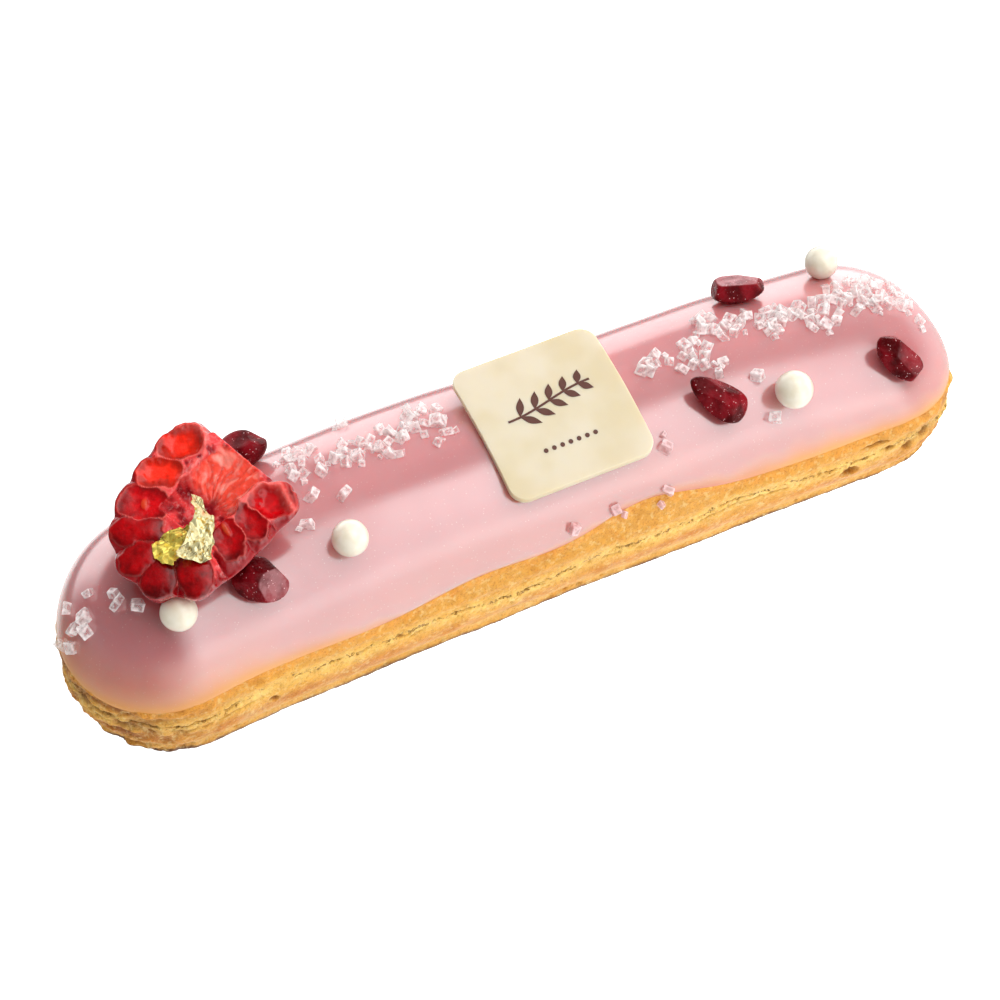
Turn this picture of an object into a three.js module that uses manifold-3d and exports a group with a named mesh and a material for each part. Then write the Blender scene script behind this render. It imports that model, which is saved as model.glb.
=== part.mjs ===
// An iced eclair with its toppings: half a raspberry with gold leaf, a white chocolate plaque,
// pomegranate arils, sugar pearls and coarse sugar.
// Millimetres, +Z up. The long axis lies along X and the flat base on z = 0.
import * as THREE from 'three';
import { mergeVertices } from 'three/addons/utils/BufferGeometryUtils.js';
import Module from 'manifold-3d';

const wasm = await Module();
wasm.setup();

// The whole eclair
const LENGTH = 150;
const HALF_WIDTH = 17.3;
const HEIGHT = 27.8;
const WIDEST_LEVEL = 11.5;
const BASE_HALF_WIDTH = 14.3;
const DOME_POWER = 2.25;
const BOW = 1.0;
const LEFT_SWING = 1.3;
const FULLNESS = 0.022;
const FULLEST_X = -22;
const FULLEST_SPREAD = 25;
const CREST_RISE = 1.3;
const CREST_X = -22;
const CREST_SPREAD = 22;
const DROOP = 4.0;
const DROOP_START = 30;
const LEFT_END_POWER = 2;
const RIGHT_END_POWER = 2.35;
const CLEARANCE = 0.3;

// Pastry: the baked side band, from the foot up to the icing
const FOOT_LEVEL = 0.7;
const FOOT_FLARE = 0.35;
const LOW_GROOVE_LEVEL = 2.7;
const LOW_GROOVE_DEPTH = 0.55;
const BELLY_LEVEL = 6.2;
const BELLY_SWELL = 0.4;
const CRACK_LEVEL = 10.1;
const CRACK_DEPTH = 1.0;
const CRACK_HALF_HEIGHT = 0.7;
const CRACK_WANDER = 0.55;
const SHOULDER_LEVEL = 12.2;
const SHOULDER_SWELL = 0.25;
const CRAG_DEPTH = 0.5;
const CRAG_START = 52;

// Icing: lower edge and thickness
const ICING_LEVEL = 14.4;
const ICING_HUMP = 2.4;
const ICING_HUMP_X = -5;
const ICING_HUMP_SPREAD = 17;
const ICING_END_DROP = 1.7;
const ICING_END_START = 50;
const ICING_RIPPLE = 0.3;
const ICING_RIPPLE_PITCH = 38;
const ICING_THICKNESS = 1.6;
const ICING_LIP = 0.7;
const ICING_LIP_SHARE = 0.3;

// Coarse sugar: size range, how far a crystal sinks in, lone crystals, and the patches the rest lie in
const SUGAR_SIZE = [1.0, 1.85];
const SUGAR_SINK = 0.16;
const SUGAR_TILT = 0.8;
const SUGAR_SPACING = 1.5;
const SUGAR_EDGE = 0.97;
const SUGAR_SPOTS = [
  [-72.1, 2.0], [-69.0, 0.4], [-66.3, -2.4], [-66.4, -4.0], [-64.0, -5.9], [-70.9, -2.0], [-72.7, -1.6],
  [-71.4, -3.8], [-74.4, -0.4], [-73.7, -2.9], [-33.7, -0.4], [-29.3, -2.3], [-36.4, -4.5], [-23.0, 12.3],
  [-12.4, 0.6], [-10.5, 2.0], [34.4, -3.0], [32.9, -4.7], [38.4, -6.9], [38.4, -12.6], [69.3, -4.4],
  [19.9, -11.4], [18.5, -15.1], [2.3, -15.2], [9.5, -15.0],
];
const SUGAR_PATCHES = [
  { x: -32.3, y: 6.2, halfX: 3.2, halfY: 3.8, count: 10 },
  { x: -25.5, y: 4.2, halfX: 3.5, halfY: 2.6, count: 7 },
  { x: -19.0, y: 4.0, halfX: 3.0, halfY: 3.0, count: 9 },
  { x: -12.2, y: 5.5, halfX: 2.8, halfY: 4.6, count: 8 },
  { x: 24.5, y: 0.6, halfX: 3.0, halfY: 2.2, count: 6 },
  { x: 31.0, y: -0.5, halfX: 3.4, halfY: 3.0, count: 9 },
  { x: 38.0, y: 4.2, halfX: 3.6, halfY: 3.4, count: 10 },
  { x: 45.5, y: 2.6, halfX: 4.2, halfY: 3.2, count: 12 },
  { x: 53.0, y: 0.4, halfX: 4.0, halfY: 3.4, count: 11 },
  { x: 61.5, y: 2.8, halfX: 4.6, halfY: 4.2, count: 18 },
  { x: 67.5, y: 1.2, halfX: 3.0, halfY: 3.4, count: 8 },
];

// Sugar pearls: places on the icing
const PEARLS = [
  { x: -59.7, y: -11.1, radius: 2.8 },
  { x: -32.0, y: -10.2, radius: 2.8 },
  { x: 42.1, y: -12.2, radius: 3.0 },
  { x: 59.6, y: 9.8, radius: 2.7 },
];

// Pomegranate arils: place, length, width, thickness, heading in degrees, taper to a point,
// and flats as bearing, climb and reach of a unit ball
const ARILS = [
  {
    x: -39.0, y: 13.8, long: 8.8, wide: 6.6, thick: 6.2, heading: -50, taper: 0.15,
    flats: [[-60, 50, 0.8], [60, 30, 0.8], [180, 20, 0.85], [0, 30, 0.8], [-120, 10, 0.82]],
  },
  {
    x: -46.8, y: -11.1, long: 8.8, wide: 7.2, thick: 6.2, heading: -40, taper: 0.1,
    flats: [
      [-8, 46, 0.64], [120, 35, 0.76], [-110, 25, 0.76], [60, 10, 0.82], [180, 30, 0.8], [-60, -20, 0.85],
    ],
  },
  {
    x: 30.4, y: -9.4, long: 10.2, wide: 7.2, thick: 5.2, heading: 127, taper: 0.45,
    flats: [[-90, 35, 0.74], [90, 30, 0.76], [180, 25, 0.76], [-150, 50, 0.78], [0, 60, 0.8]],
  },
  {
    x: 44.1, y: 9.8, long: 9.2, wide: 6.4, thick: 4.6, heading: -16, taper: 0,
    flats: [[-30, 80, 0.56], [-90, 8, 0.68], [90, 10, 0.72], [180, 10, 0.8], [-15, 15, 0.84], [40, 45, 0.8]],
  },
  {
    x: 61.4, y: -12.0, long: 9.2, wide: 5.8, thick: 5.0, heading: -60, taper: 0.05,
    flats: [
      [0, 75, 0.72], [100, 25, 0.76], [-80, 25, 0.74], [0, 10, 0.86], [150, 15, 0.84], [-160, 40, 0.8],
    ],
  },
];

// Chocolate plaque
const PLAQUE_SIDE = 24.2;
const PLAQUE_CORNER = 2.6;
const PLAQUE_THICKNESS = 1.7;
const PLAQUE_TILT = 12;
const PLAQUE_BEND_RADIUS = 60;
const PLAQUE_PLACE = [5.9, -1.4];

// Raspberry, cut lengthwise: tip at -X, open end at +X, cut face at the top before it is turned
const BERRY_LENGTH = 25.5;
const BERRY_RADIUS = 11.4;
const BERRY_FULLEST = 0.58;
const BERRY_MOUTH_SHRINK = 0.12;
const BERRY_FLATTEN = 0.82;
const BERRY_CORE_INSET = 0.7;
const BERRY_HOLLOW = { x: 4.6, y: 0.3, long: 7.4, wide: 4.3, deep: 4.2 };
const BERRY_ROWS = [0.17, 0.36, 0.56, 0.76];
const BERRY_PLACE = [-54.0, -3.0];
const BERRY_HEADING = 21;
const BERRY_RISE = 15;
const BERRY_ROLL = 13;
const DRUPELET_RADIUS = 3.1;
const DRUPELET_PITCH = 5.2;

// Cells of the cut face: middle, half length and width, turn in degrees, and how deep each is hollowed
const CELLS = [
  { x: 7.6, y: 8.8, long: 3.6, wide: 2.4, turn: -24, hollowed: 0.8 },
  { x: 2.7, y: 8.0, long: 3.4, wide: 2.5, turn: -52, hollowed: 0.5 },
  { x: -2.4, y: 6.6, long: 3.5, wide: 2.7, turn: -60, hollowed: 0 },
  { x: -6.0, y: 4.2, long: 3.9, wide: 2.4, turn: -46, hollowed: 0 },
  { x: -8.7, y: 1.2, long: 3.5, wide: 2.3, turn: -22, hollowed: 0 },
  { x: -8.9, y: -2.8, long: 3.3, wide: 2.5, turn: 18, hollowed: 0 },
  { x: -5.6, y: -6.3, long: 3.4, wide: 2.6, turn: 50, hollowed: 0 },
  { x: 1.6, y: -6.4, long: 3.1, wide: 2.2, turn: 62, hollowed: 0 },
  { x: 5.4, y: -7.0, long: 3.0, wide: 2.3, turn: 77, hollowed: 0.4 },
  { x: 10.0, y: -7.1, long: 3.5, wide: 2.9, turn: -35, hollowed: 0.9 },
];
const CELL_WALL = 0.35;
const CELL_DEPTH = 3.4;
const CELL_SINK = 0.4;

// Gold leaf: rows along the raspberry, each with its left and right edge
const LEAF_ROWS = [
  { along: -7.5, left: 0.0, right: 2.4 },
  { along: -6.0, left: -0.7, right: 3.3 },
  { along: -4.6, left: -0.7, right: 5.4 },
  { along: -3.6, left: -0.5, right: 6.5 },
  { along: -2.0, left: 0.2, right: 6.6 },
  { along: -0.3, left: 1.0, right: 5.3 },
  { along: 1.2, left: 0.3, right: 4.0 },
  { along: 2.2, left: -1.2, right: 3.1 },
  { along: 3.0, left: -1.1, right: 0.2 },
];
const LEAF_COLUMNS = 7;
const LEAF_THICKNESS = 0.25;
const LEAF_HEIGHT = 1.5;
const LEAF_CRUMPLE = 0.55;
const LEAF_WAVES = [0.9, 1.1, 1.25, 2.0];

// How finely the round forms are stepped
const SIDE_STEPS = 25;
const END_STEPS = 12;
const DOME_STEPS = 7;
const LINING_STEPS = 4;
const CREST_HALF_WIDTH = 1.4;
const WELD = 1e-4;

const HALF_LENGTH = LENGTH / 2;
const RUN = HALF_LENGTH - HALF_WIDTH;
const HALF_TURN = SIDE_STEPS + END_STEPS;
const SPOKES = 2 * HALF_TURN;
const UP = new THREE.Vector3(0, 0, 1);
const radians = THREE.MathUtils.degToRad;
const { clamp, lerp, smoothstep } = THREE.MathUtils;

// A repeatable run of draws between 0 and 1
function draws(seed) {
  const MODULUS = 2147483647;
  const FACTOR = 16807;
  let state = seed;
  return () => {
    state = (state * FACTOR) % MODULUS;
    return state / MODULUS;
  };
}

// The eclair's outer skin

// A soft swelling or hollow, one at its middle and fading over a reach
function swell(place, middle, reach) {
  return Math.exp(-(((place - middle) / reach) ** 2));
}

// How much wider the eclair is than its plain form
function widthAt(x) {
  return 1 + FULLNESS * swell(x, FULLEST_X, FULLEST_SPREAD);
}

// The spine in plan: bowed to the back, further back where the body is full, and forward at the left end
function bowAt(x) {
  const swing = LEFT_SWING * Math.max(-x / HALF_LENGTH, 0) ** 3;
  return BOW * (1 - (x / HALF_LENGTH) ** 2) + HALF_WIDTH * (widthAt(x) - 1) - swing;
}

function topAt(x) {
  const crest = CREST_RISE * swell(x, CREST_X, CREST_SPREAD);
  return HEIGHT + crest - DROOP * smoothstep(x, DROOP_START, HALF_LENGTH);
}

// How square an end is in plan
function endPower(x) {
  return x > 0 ? RIGHT_END_POWER : LEFT_END_POWER;
}

// Distance in plan from the spine
function acrossAt(x, y) {
  const power = endPower(x);
  const along = Math.abs(x - clamp(x, -RUN, RUN));
  const aside = Math.abs(y - bowAt(x)) / widthAt(x);
  return (along ** power + aside ** power) ** (1 / power);
}

// Height of the domed skin above a place in plan
function domeAt(x, y) {
  const share = Math.min(acrossAt(x, y) / HALF_WIDTH, 1);
  const rise = (1 - share ** DOME_POWER) ** (1 / DOME_POWER);
  return WIDEST_LEVEL + (topAt(x) - WIDEST_LEVEL) * rise;
}

function domeNormal(x, y) {
  const STEP = 0.05;
  const slopeX = (domeAt(x + STEP, y) - domeAt(x - STEP, y)) / (2 * STEP);
  const slopeY = (domeAt(x, y + STEP) - domeAt(x, y - STEP)) / (2 * STEP);
  return new THREE.Vector3(-slopeX, -slopeY, 1).normalize();
}

// A spoke leaves the spine at x and points out in plan; spokes run round from the front left
function spoke(index) {
  const facing = index < HALF_TURN ? 1 : -1;
  const step = index % HALF_TURN;
  const along = Math.min(step / SIDE_STEPS, 1);
  const swing = Math.PI * Math.max(step - SIDE_STEPS, 0) / END_STEPS;
  const power = endPower(facing);
  const reach = (Math.sin(swing) ** power + Math.abs(Math.cos(swing)) ** power) ** (-1 / power);
  return {
    x: facing * RUN * (2 * along - 1),
    outX: facing * reach * Math.sin(swing),
    outY: -facing * reach * Math.cos(swing),
  };
}

const spokes = Array.from({ length: SPOKES }, (_, index) => spoke(index));

function pointOnSpoke(ray, across, level) {
  const x = ray.x + across * ray.outX;
  return new THREE.Vector3(x, across * ray.outY * widthAt(x) + bowAt(x), level);
}

// Half width of the pastry below its widest level
function sideAcross(level) {
  const drop = Math.max(WIDEST_LEVEL - level, 0) / WIDEST_LEVEL;
  return lerp(HALF_WIDTH, BASE_HALF_WIDTH, drop ** 2);
}

// A point of the dome at an angle from the widest level, moved in by a depth along its normal
function domePoint(ray, angle, depth) {
  const across = HALF_WIDTH * Math.cos(angle) ** (2 / DOME_POWER);
  const rise = topAt(ray.x + across * ray.outX) - WIDEST_LEVEL;
  const lift = Math.sin(angle) ** (2 / DOME_POWER);
  const normalOut = (across / HALF_WIDTH) ** (DOME_POWER - 1) / HALF_WIDTH;
  const normalUp = lift ** (DOME_POWER - 1) / rise;
  const scale = depth / Math.hypot(normalOut, normalUp);
  const level = WIDEST_LEVEL + rise * lift - normalUp * scale;
  return pointOnSpoke(ray, across - normalOut * scale, level);
}

// Level of the icing's wavy lower edge at a spoke
function icingLevel(ray) {
  const x = ray.x + HALF_WIDTH * ray.outX;
  const front = (1 - ray.outY) / 2;
  const hump = ICING_HUMP * front * Math.exp(-(((x - ICING_HUMP_X) / ICING_HUMP_SPREAD) ** 2));
  const drop = ICING_END_DROP * smoothstep(Math.abs(x), ICING_END_START, HALF_LENGTH);
  const ripple = ICING_RIPPLE * Math.sin(2 * Math.PI * x / ICING_RIPPLE_PITCH + Math.PI * front);
  return ICING_LEVEL + hump - drop + ripple;
}

function icingAngle(ray) {
  const x = ray.x + HALF_WIDTH * ray.outX;
  const share = (icingLevel(ray) - WIDEST_LEVEL) / (topAt(x) - WIDEST_LEVEL);
  return Math.asin(share ** (DOME_POWER / 2));
}

const CREST_ANGLE = Math.acos((CREST_HALF_WIDTH / HALF_WIDTH) ** (DOME_POWER / 2));

// Thickness of the icing at a share of the way from its edge to the crest
function icingDepth(share) {
  return lerp(ICING_LIP, ICING_THICKNESS, smoothstep(share, 0, ICING_LIP_SHARE));
}

// One ring of the dome, at a share of the way from the icing's edge to the crest
function domeRing(share, depth) {
  return spokes.map((ray) => domePoint(ray, lerp(icingAngle(ray), CREST_ANGLE, share), depth));
}

// Closed meshes

function meshFrom(points, triangles) {
  const geometry = new THREE.BufferGeometry();
  geometry.setFromPoints(points);
  geometry.setIndex(triangles);
  return geometry;
}

// Joins rings of equal count into a tube
function tubeTriangles(ringCount, size) {
  const triangles = [];
  for (let ring = 0; ring < ringCount - 1; ring += 1) {
    for (let place = 0; place < size; place += 1) {
      const next = (place + 1) % size;
      const low = ring * size;
      const high = low + size;
      triangles.push(low + place, low + next, high + next);
      triangles.push(low + place, high + next, high + place);
    }
  }
  return triangles;
}

// Closes a ring that goes round the eclair by joining its front to its back
function zipTriangles(first, upward) {
  const triangles = [];
  const leftTip = SPOKES - END_STEPS / 2;
  const front = (step) => first + (leftTip + step) % SPOKES;
  const back = (step) => first + (leftTip - step + SPOKES) % SPOKES;
  const add = (a, b, c) => triangles.push(...(upward ? [a, b, c] : [a, c, b]));
  for (let step = 0; step < HALF_TURN; step += 1) {
    if (step < HALF_TURN - 1) add(front(step), front(step + 1), back(step + 1));
    if (step > 0) add(front(step), back(step + 1), back(step));
  }
  return triangles;
}

// A stack of rings round the eclair, zipped shut at both ends
function zippedStack(rings) {
  const last = (rings.length - 1) * SPOKES;
  const triangles = [
    ...zipTriangles(0, false),
    ...tubeTriangles(rings.length, SPOKES),
    ...zipTriangles(last, true),
  ];
  return meshFrom(rings.flat(), triangles);
}

// A stack of rings closed by a fan at both ends
function fannedStack(rings, bottom, top) {
  const size = rings[0].length;
  const points = [...rings.flat(), bottom, top];
  const last = (rings.length - 1) * size;
  const triangles = tubeTriangles(rings.length, size);
  for (let place = 0; place < size; place += 1) {
    const next = (place + 1) % size;
    triangles.push(points.length - 2, next, place);
    triangles.push(points.length - 1, last + place, last + next);
  }
  return meshFrom(points, triangles);
}

// A closed geometry as a solid to join and cut
function solid(geometry) {
  const bare = geometry.clone();
  bare.deleteAttribute('normal');
  bare.deleteAttribute('uv');
  const merged = mergeVertices(bare, WELD);
  return new wasm.Manifold(new wasm.Mesh({
    numProp: 3,
    vertProperties: Float32Array.from(merged.attributes.position.array),
    triVerts: Uint32Array.from(merged.index.array),
  }));
}

function geometryOf(body) {
  const mesh = body.getMesh();
  const geometry = new THREE.BufferGeometry();
  geometry.setAttribute('position', new THREE.BufferAttribute(mesh.vertProperties, 3));
  geometry.setIndex(new THREE.BufferAttribute(mesh.triVerts, 1));
  return geometry;
}

// The largest shell of a body, without pockets that joining has sealed
function outerShell(body) {
  return body.decompose().reduce((best, shell) => (shell.volume() > best.volume() ? shell : best));
}

// Lowers a turned topping over its place until only the clearance is left below it
function settle(geometry, x, y) {
  geometry.translate(x, y, 0);
  const place = geometry.attributes.position;
  let lift = -Infinity;
  for (let index = 0; index < place.count; index += 1) {
    const under = domeAt(place.getX(index), place.getY(index));
    lift = Math.max(lift, under - place.getZ(index));
  }
  geometry.translate(0, 0, lift + CLEARANCE);
  return lift + CLEARANCE;
}

// Turns a topping to lie on the slope of its place, with its length along a heading
function layOnSlope(geometry, x, y, heading) {
  const lean = new THREE.Quaternion().setFromUnitVectors(UP, domeNormal(x, y));
  const turn = new THREE.Quaternion().setFromAxisAngle(UP, radians(heading));
  geometry.applyQuaternion(lean.multiply(turn));
}

// The pastry

// Level of the crack that runs round the side, wandering in a long and a short wave
function crackLevel(ray) {
  const LONG_WAVE = 11;
  const SHORT_WAVE = 4.3;
  const x = ray.x + HALF_WIDTH * ray.outX;
  return CRACK_LEVEL + CRACK_WANDER * (Math.sin(x / LONG_WAVE + ray.outY) + Math.sin(x / SHORT_WAVE));
}

// How far the baked side stands proud of the plain form
function sideRelief(level) {
  const FOOT_REACH = 0.8;
  const GROOVE_REACH = 1.0;
  const BELLY_REACH = 2.6;
  const SHOULDER_REACH = 1.1;
  return FOOT_FLARE * swell(level, FOOT_LEVEL, FOOT_REACH)
    - LOW_GROOVE_DEPTH * swell(level, LOW_GROOVE_LEVEL, GROOVE_REACH)
    + BELLY_SWELL * swell(level, BELLY_LEVEL, BELLY_REACH)
    + SHOULDER_SWELL * swell(level, SHOULDER_LEVEL, SHOULDER_REACH);
}

function chouxGeometry() {
  const SHALLOWEST = 0.3;
  const random = draws(11);
  const ring = (levelAt, offsetAt) => spokes.map((ray) => {
    const level = levelAt(ray);
    const x = ray.x + HALF_WIDTH * ray.outX;
    const crag = CRAG_DEPTH * smoothstep(Math.abs(x), CRAG_START, HALF_LENGTH) * (random() - 0.5);
    return pointOnSpoke(ray, sideAcross(level) + sideRelief(level) + offsetAt(ray) + crag, level);
  });
  const plain = () => 0;
  const cut = () => -CRACK_DEPTH * lerp(SHALLOWEST, 1, random());
  const between = (low, high) => (low + high) / 2;
  const under = (ray) => icingLevel(ray) - CLEARANCE;
  const base = spokes.map((ray) => pointOnSpoke(ray, BASE_HALF_WIDTH, 0));
  const ledge = spokes.map((ray) => domePoint(ray, icingAngle(ray), ICING_LIP + CLEARANCE));
  ledge.forEach((point, index) => point.setZ(under(spokes[index])));
  const brim = spokes.map((ray) => {
    const skin = domePoint(ray, icingAngle(ray), 0);
    return skin.setZ(under(ray));
  });
  const rings = [base];
  const levels = [
    FOOT_LEVEL,
    between(FOOT_LEVEL, LOW_GROOVE_LEVEL),
    LOW_GROOVE_LEVEL,
    between(LOW_GROOVE_LEVEL, BELLY_LEVEL),
    BELLY_LEVEL,
    between(BELLY_LEVEL, CRACK_LEVEL),
  ];
  levels.forEach((level) => rings.push(ring(() => level, plain)));
  rings.push(ring((ray) => crackLevel(ray) - CRACK_HALF_HEIGHT, plain));
  rings.push(ring(crackLevel, cut));
  rings.push(ring((ray) => crackLevel(ray) + CRACK_HALF_HEIGHT, plain));
  rings.push(ring((ray) => between(crackLevel(ray) + CRACK_HALF_HEIGHT, under(ray)), plain));
  rings.push(brim, ledge);
  for (let step = 1; step <= LINING_STEPS; step += 1) {
    const share = step / LINING_STEPS;
    rings.push(domeRing(share, icingDepth(share) + CLEARANCE));
  }
  return zippedStack(rings);
}

// The icing and the coarse sugar fused to it

function icingShell() {
  const rings = [];
  for (let step = LINING_STEPS; step >= 0; step -= 1) {
    const share = step / LINING_STEPS;
    rings.push(domeRing(share, icingDepth(share)));
  }
  for (let step = 0; step <= DOME_STEPS; step += 1) {
    rings.push(domeRing(step / DOME_STEPS, 0));
  }
  return zippedStack(rings);
}

// Whether a place is clear of the toppings that are pieces of their own
function clearOfToppings(x, y) {
  const MARGIN = 1.6;
  const apart = (placeX, placeY, reach) => Math.hypot(x - placeX, y - placeY) > reach + MARGIN;
  const halfPlaque = PLAQUE_SIDE / 2 + MARGIN;
  const [plaqueX, plaqueY] = PLAQUE_PLACE;
  const offPlaque = Math.abs(x - plaqueX) > halfPlaque || Math.abs(y - plaqueY) > halfPlaque;
  return offPlaque
    && apart(...BERRY_PLACE, BERRY_LENGTH / 2)
    && PEARLS.every((pearl) => apart(pearl.x, pearl.y, pearl.radius))
    && ARILS.every((aril) => apart(aril.x, aril.y, aril.long / 2));
}

// Places for the crystals of one patch, spread over an ellipse and kept apart
function patchPlaces(patch, random, taken) {
  const TRIES = 400;
  let placed = 0;
  for (let attempt = 0; attempt < TRIES && placed < patch.count; attempt += 1) {
    const reach = Math.sqrt(random());
    const bearing = 2 * Math.PI * random();
    const x = patch.x + patch.halfX * reach * Math.cos(bearing);
    const y = patch.y + patch.halfY * reach * Math.sin(bearing);
    const onIcing = acrossAt(x, y) < SUGAR_EDGE * HALF_WIDTH;
    const free = taken.every((other) => Math.hypot(x - other[0], y - other[1]) > SUGAR_SPACING);
    if (onIcing && free && clearOfToppings(x, y)) {
      taken.push([x, y]);
      placed += 1;
    }
  }
}

function sugarCrystal(x, y, random) {
  const [small, large] = SUGAR_SIZE;
  const edges = [0, 1, 2].map(() => lerp(small, large, random()));
  const crystal = new THREE.BoxGeometry(...edges);
  const tilt = () => SUGAR_TILT * (2 * random() - 1);
  crystal.rotateX(tilt());
  crystal.rotateY(tilt());
  layOnSlope(crystal, x, y, 180 * random());
  const normal = domeNormal(x, y);
  const rise = edges[2] * (0.5 - SUGAR_SINK);
  crystal.translate(x + rise * normal.x, y + rise * normal.y, domeAt(x, y) + rise * normal.z);
  return crystal;
}

function icingGeometry() {
  const random = draws(29);
  const places = [...SUGAR_SPOTS];
  SUGAR_PATCHES.forEach((patch) => patchPlaces(patch, random, places));
  let body = solid(icingShell());
  places.forEach(([x, y]) => {
    body = body.add(solid(sugarCrystal(x, y, random)));
  });
  return geometryOf(outerShell(body));
}

// Toppings

function pearlGeometry({ x, y, radius }) {
  const AROUND = 12;
  const DOWN = 8;
  const pearl = new THREE.SphereGeometry(radius, AROUND, DOWN);
  settle(pearl, x, y);
  return pearl;
}

// A pebble with flat facets: a ball cut back to a few planes, stretched and tapered
function arilGeometry(aril) {
  const DETAIL = 2;
  const facets = aril.flats.map(([bearing, climb, reach]) => {
    const polar = new THREE.Spherical(1, radians(90 - climb), radians(bearing));
    const { x, y, z } = new THREE.Vector3().setFromSpherical(polar);
    return { normal: new THREE.Vector3(z, x, y), reach };
  });
  const pebble = new THREE.IcosahedronGeometry(1, DETAIL);
  const place = pebble.attributes.position;
  const point = new THREE.Vector3();
  for (let vertex = 0; vertex < place.count; vertex += 1) {
    point.fromBufferAttribute(place, vertex).normalize();
    const toward = point.clone();
    facets.forEach((facet) => {
      const along = toward.dot(facet.normal);
      if (along > 0) point.setLength(Math.min(point.length(), facet.reach / along));
    });
    const slim = 1 - aril.taper * (1 + point.x) / 2;
    const stretched = [point.x * aril.long, point.y * aril.wide * slim, point.z * aril.thick * slim];
    place.setXYZ(vertex, ...stretched.map((size) => size / 2));
  }
  layOnSlope(pebble, aril.x, aril.y, aril.heading);
  settle(pebble, aril.x, aril.y);
  return pebble;
}

// Outline of the plaque, scaled about its centre
function plaqueRing(scale, level) {
  const CORNER_STEPS = 4;
  const EDGE_STEPS = 4;
  const half = PLAQUE_SIDE / 2 - PLAQUE_CORNER;
  const points = [];
  for (let side = 0; side < 4; side += 1) {
    const start = side * Math.PI / 2;
    const middle = start + Math.PI / 4;
    const corner = [Math.SQRT2 * half * Math.cos(middle), Math.SQRT2 * half * Math.sin(middle)];
    for (let step = 0; step <= CORNER_STEPS; step += 1) {
      const angle = start + (Math.PI / 2) * step / CORNER_STEPS;
      points.push([corner[0] + PLAQUE_CORNER * Math.cos(angle), corner[1] + PLAQUE_CORNER * Math.sin(angle)]);
    }
    for (let step = 1; step < EDGE_STEPS; step += 1) {
      const run = half - 2 * half * step / EDGE_STEPS;
      const out = half + PLAQUE_CORNER;
      points.push([
        run * Math.cos(start) - out * Math.sin(start),
        run * Math.sin(start) + out * Math.cos(start),
      ]);
    }
  }
  return points.map(([x, y]) => {
    const sag = (scale * y) ** 2 / (2 * PLAQUE_BEND_RADIUS);
    return new THREE.Vector3(scale * x, scale * y, level - sag);
  });
}

function plaqueGeometry() {
  const INNER = [0.35, 0.7];
  const rings = [
    ...INNER.map((scale) => plaqueRing(scale, 0)),
    plaqueRing(1, 0),
    plaqueRing(1, PLAQUE_THICKNESS),
    ...INNER.toReversed().map((scale) => plaqueRing(scale, PLAQUE_THICKNESS)),
  ];
  const bottom = new THREE.Vector3(0, 0, 0);
  const top = new THREE.Vector3(0, 0, PLAQUE_THICKNESS);
  const plaque = fannedStack(rings, bottom, top);
  plaque.rotateX(radians(PLAQUE_TILT));
  settle(plaque, ...PLAQUE_PLACE);
  return plaque;
}

// The raspberry

// Radius of the berry's outer skin at a share of the way from tip to mouth
function berryRadius(share) {
  if (share < BERRY_FULLEST) return BERRY_RADIUS * Math.sqrt(1 - (1 - share / BERRY_FULLEST) ** 2);
  return BERRY_RADIUS * (1 - BERRY_MOUTH_SHRINK * ((share - BERRY_FULLEST) / (1 - BERRY_FULLEST)) ** 2);
}

const berryAlong = (share) => (share - 0.5) * BERRY_LENGTH;

// Centres of the whole drupelets below the cut, row by row
function drupelets() {
  const random = draws(61);
  const JITTER = 0.5;
  const list = [];
  BERRY_ROWS.forEach((share) => {
    const reach = berryRadius(share) - DRUPELET_RADIUS;
    const steps = Math.round(Math.PI * reach / DRUPELET_PITCH);
    for (let step = 1; step < steps; step += 1) {
      const angle = Math.PI * step / steps;
      list.push({
        x: berryAlong(share) + JITTER * (2 * random() - 1),
        y: reach * Math.cos(angle),
        z: -BERRY_FLATTEN * reach * Math.sin(angle),
      });
    }
  });
  return list;
}

// The berry's flesh behind the drupelets, from a profile of radius by share
function berryCore() {
  const START = 0.05;
  const BEND = 0.9;
  const END = 0.985;
  const MOUTH_ROUND = 2.2;
  const STEPS = 5;
  const AROUND = 12;
  const profile = [new THREE.Vector2(0, berryAlong(START))];
  for (let step = 1; step <= STEPS; step += 1) {
    const share = lerp(START, BEND, step / STEPS);
    profile.push(new THREE.Vector2(berryRadius(share) - BERRY_CORE_INSET, berryAlong(share)));
  }
  profile.push(new THREE.Vector2(berryRadius(END) - BERRY_CORE_INSET - MOUTH_ROUND, berryAlong(END)));
  profile.push(new THREE.Vector2(0, berryAlong(END)));
  const core = new THREE.LatheGeometry(profile, AROUND);
  core.rotateZ(-Math.PI / 2);
  core.scale(1, 1, BERRY_FLATTEN);
  return solid(core);
}

function ellipsoid({ x, y, z = 0, turn = 0 }, long, wide, deep) {
  const DETAIL = 1;
  const geometry = new THREE.IcosahedronGeometry(1, DETAIL);
  geometry.scale(long, wide, deep);
  geometry.rotateZ(radians(turn));
  geometry.translate(x, y, z);
  return solid(geometry);
}

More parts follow.
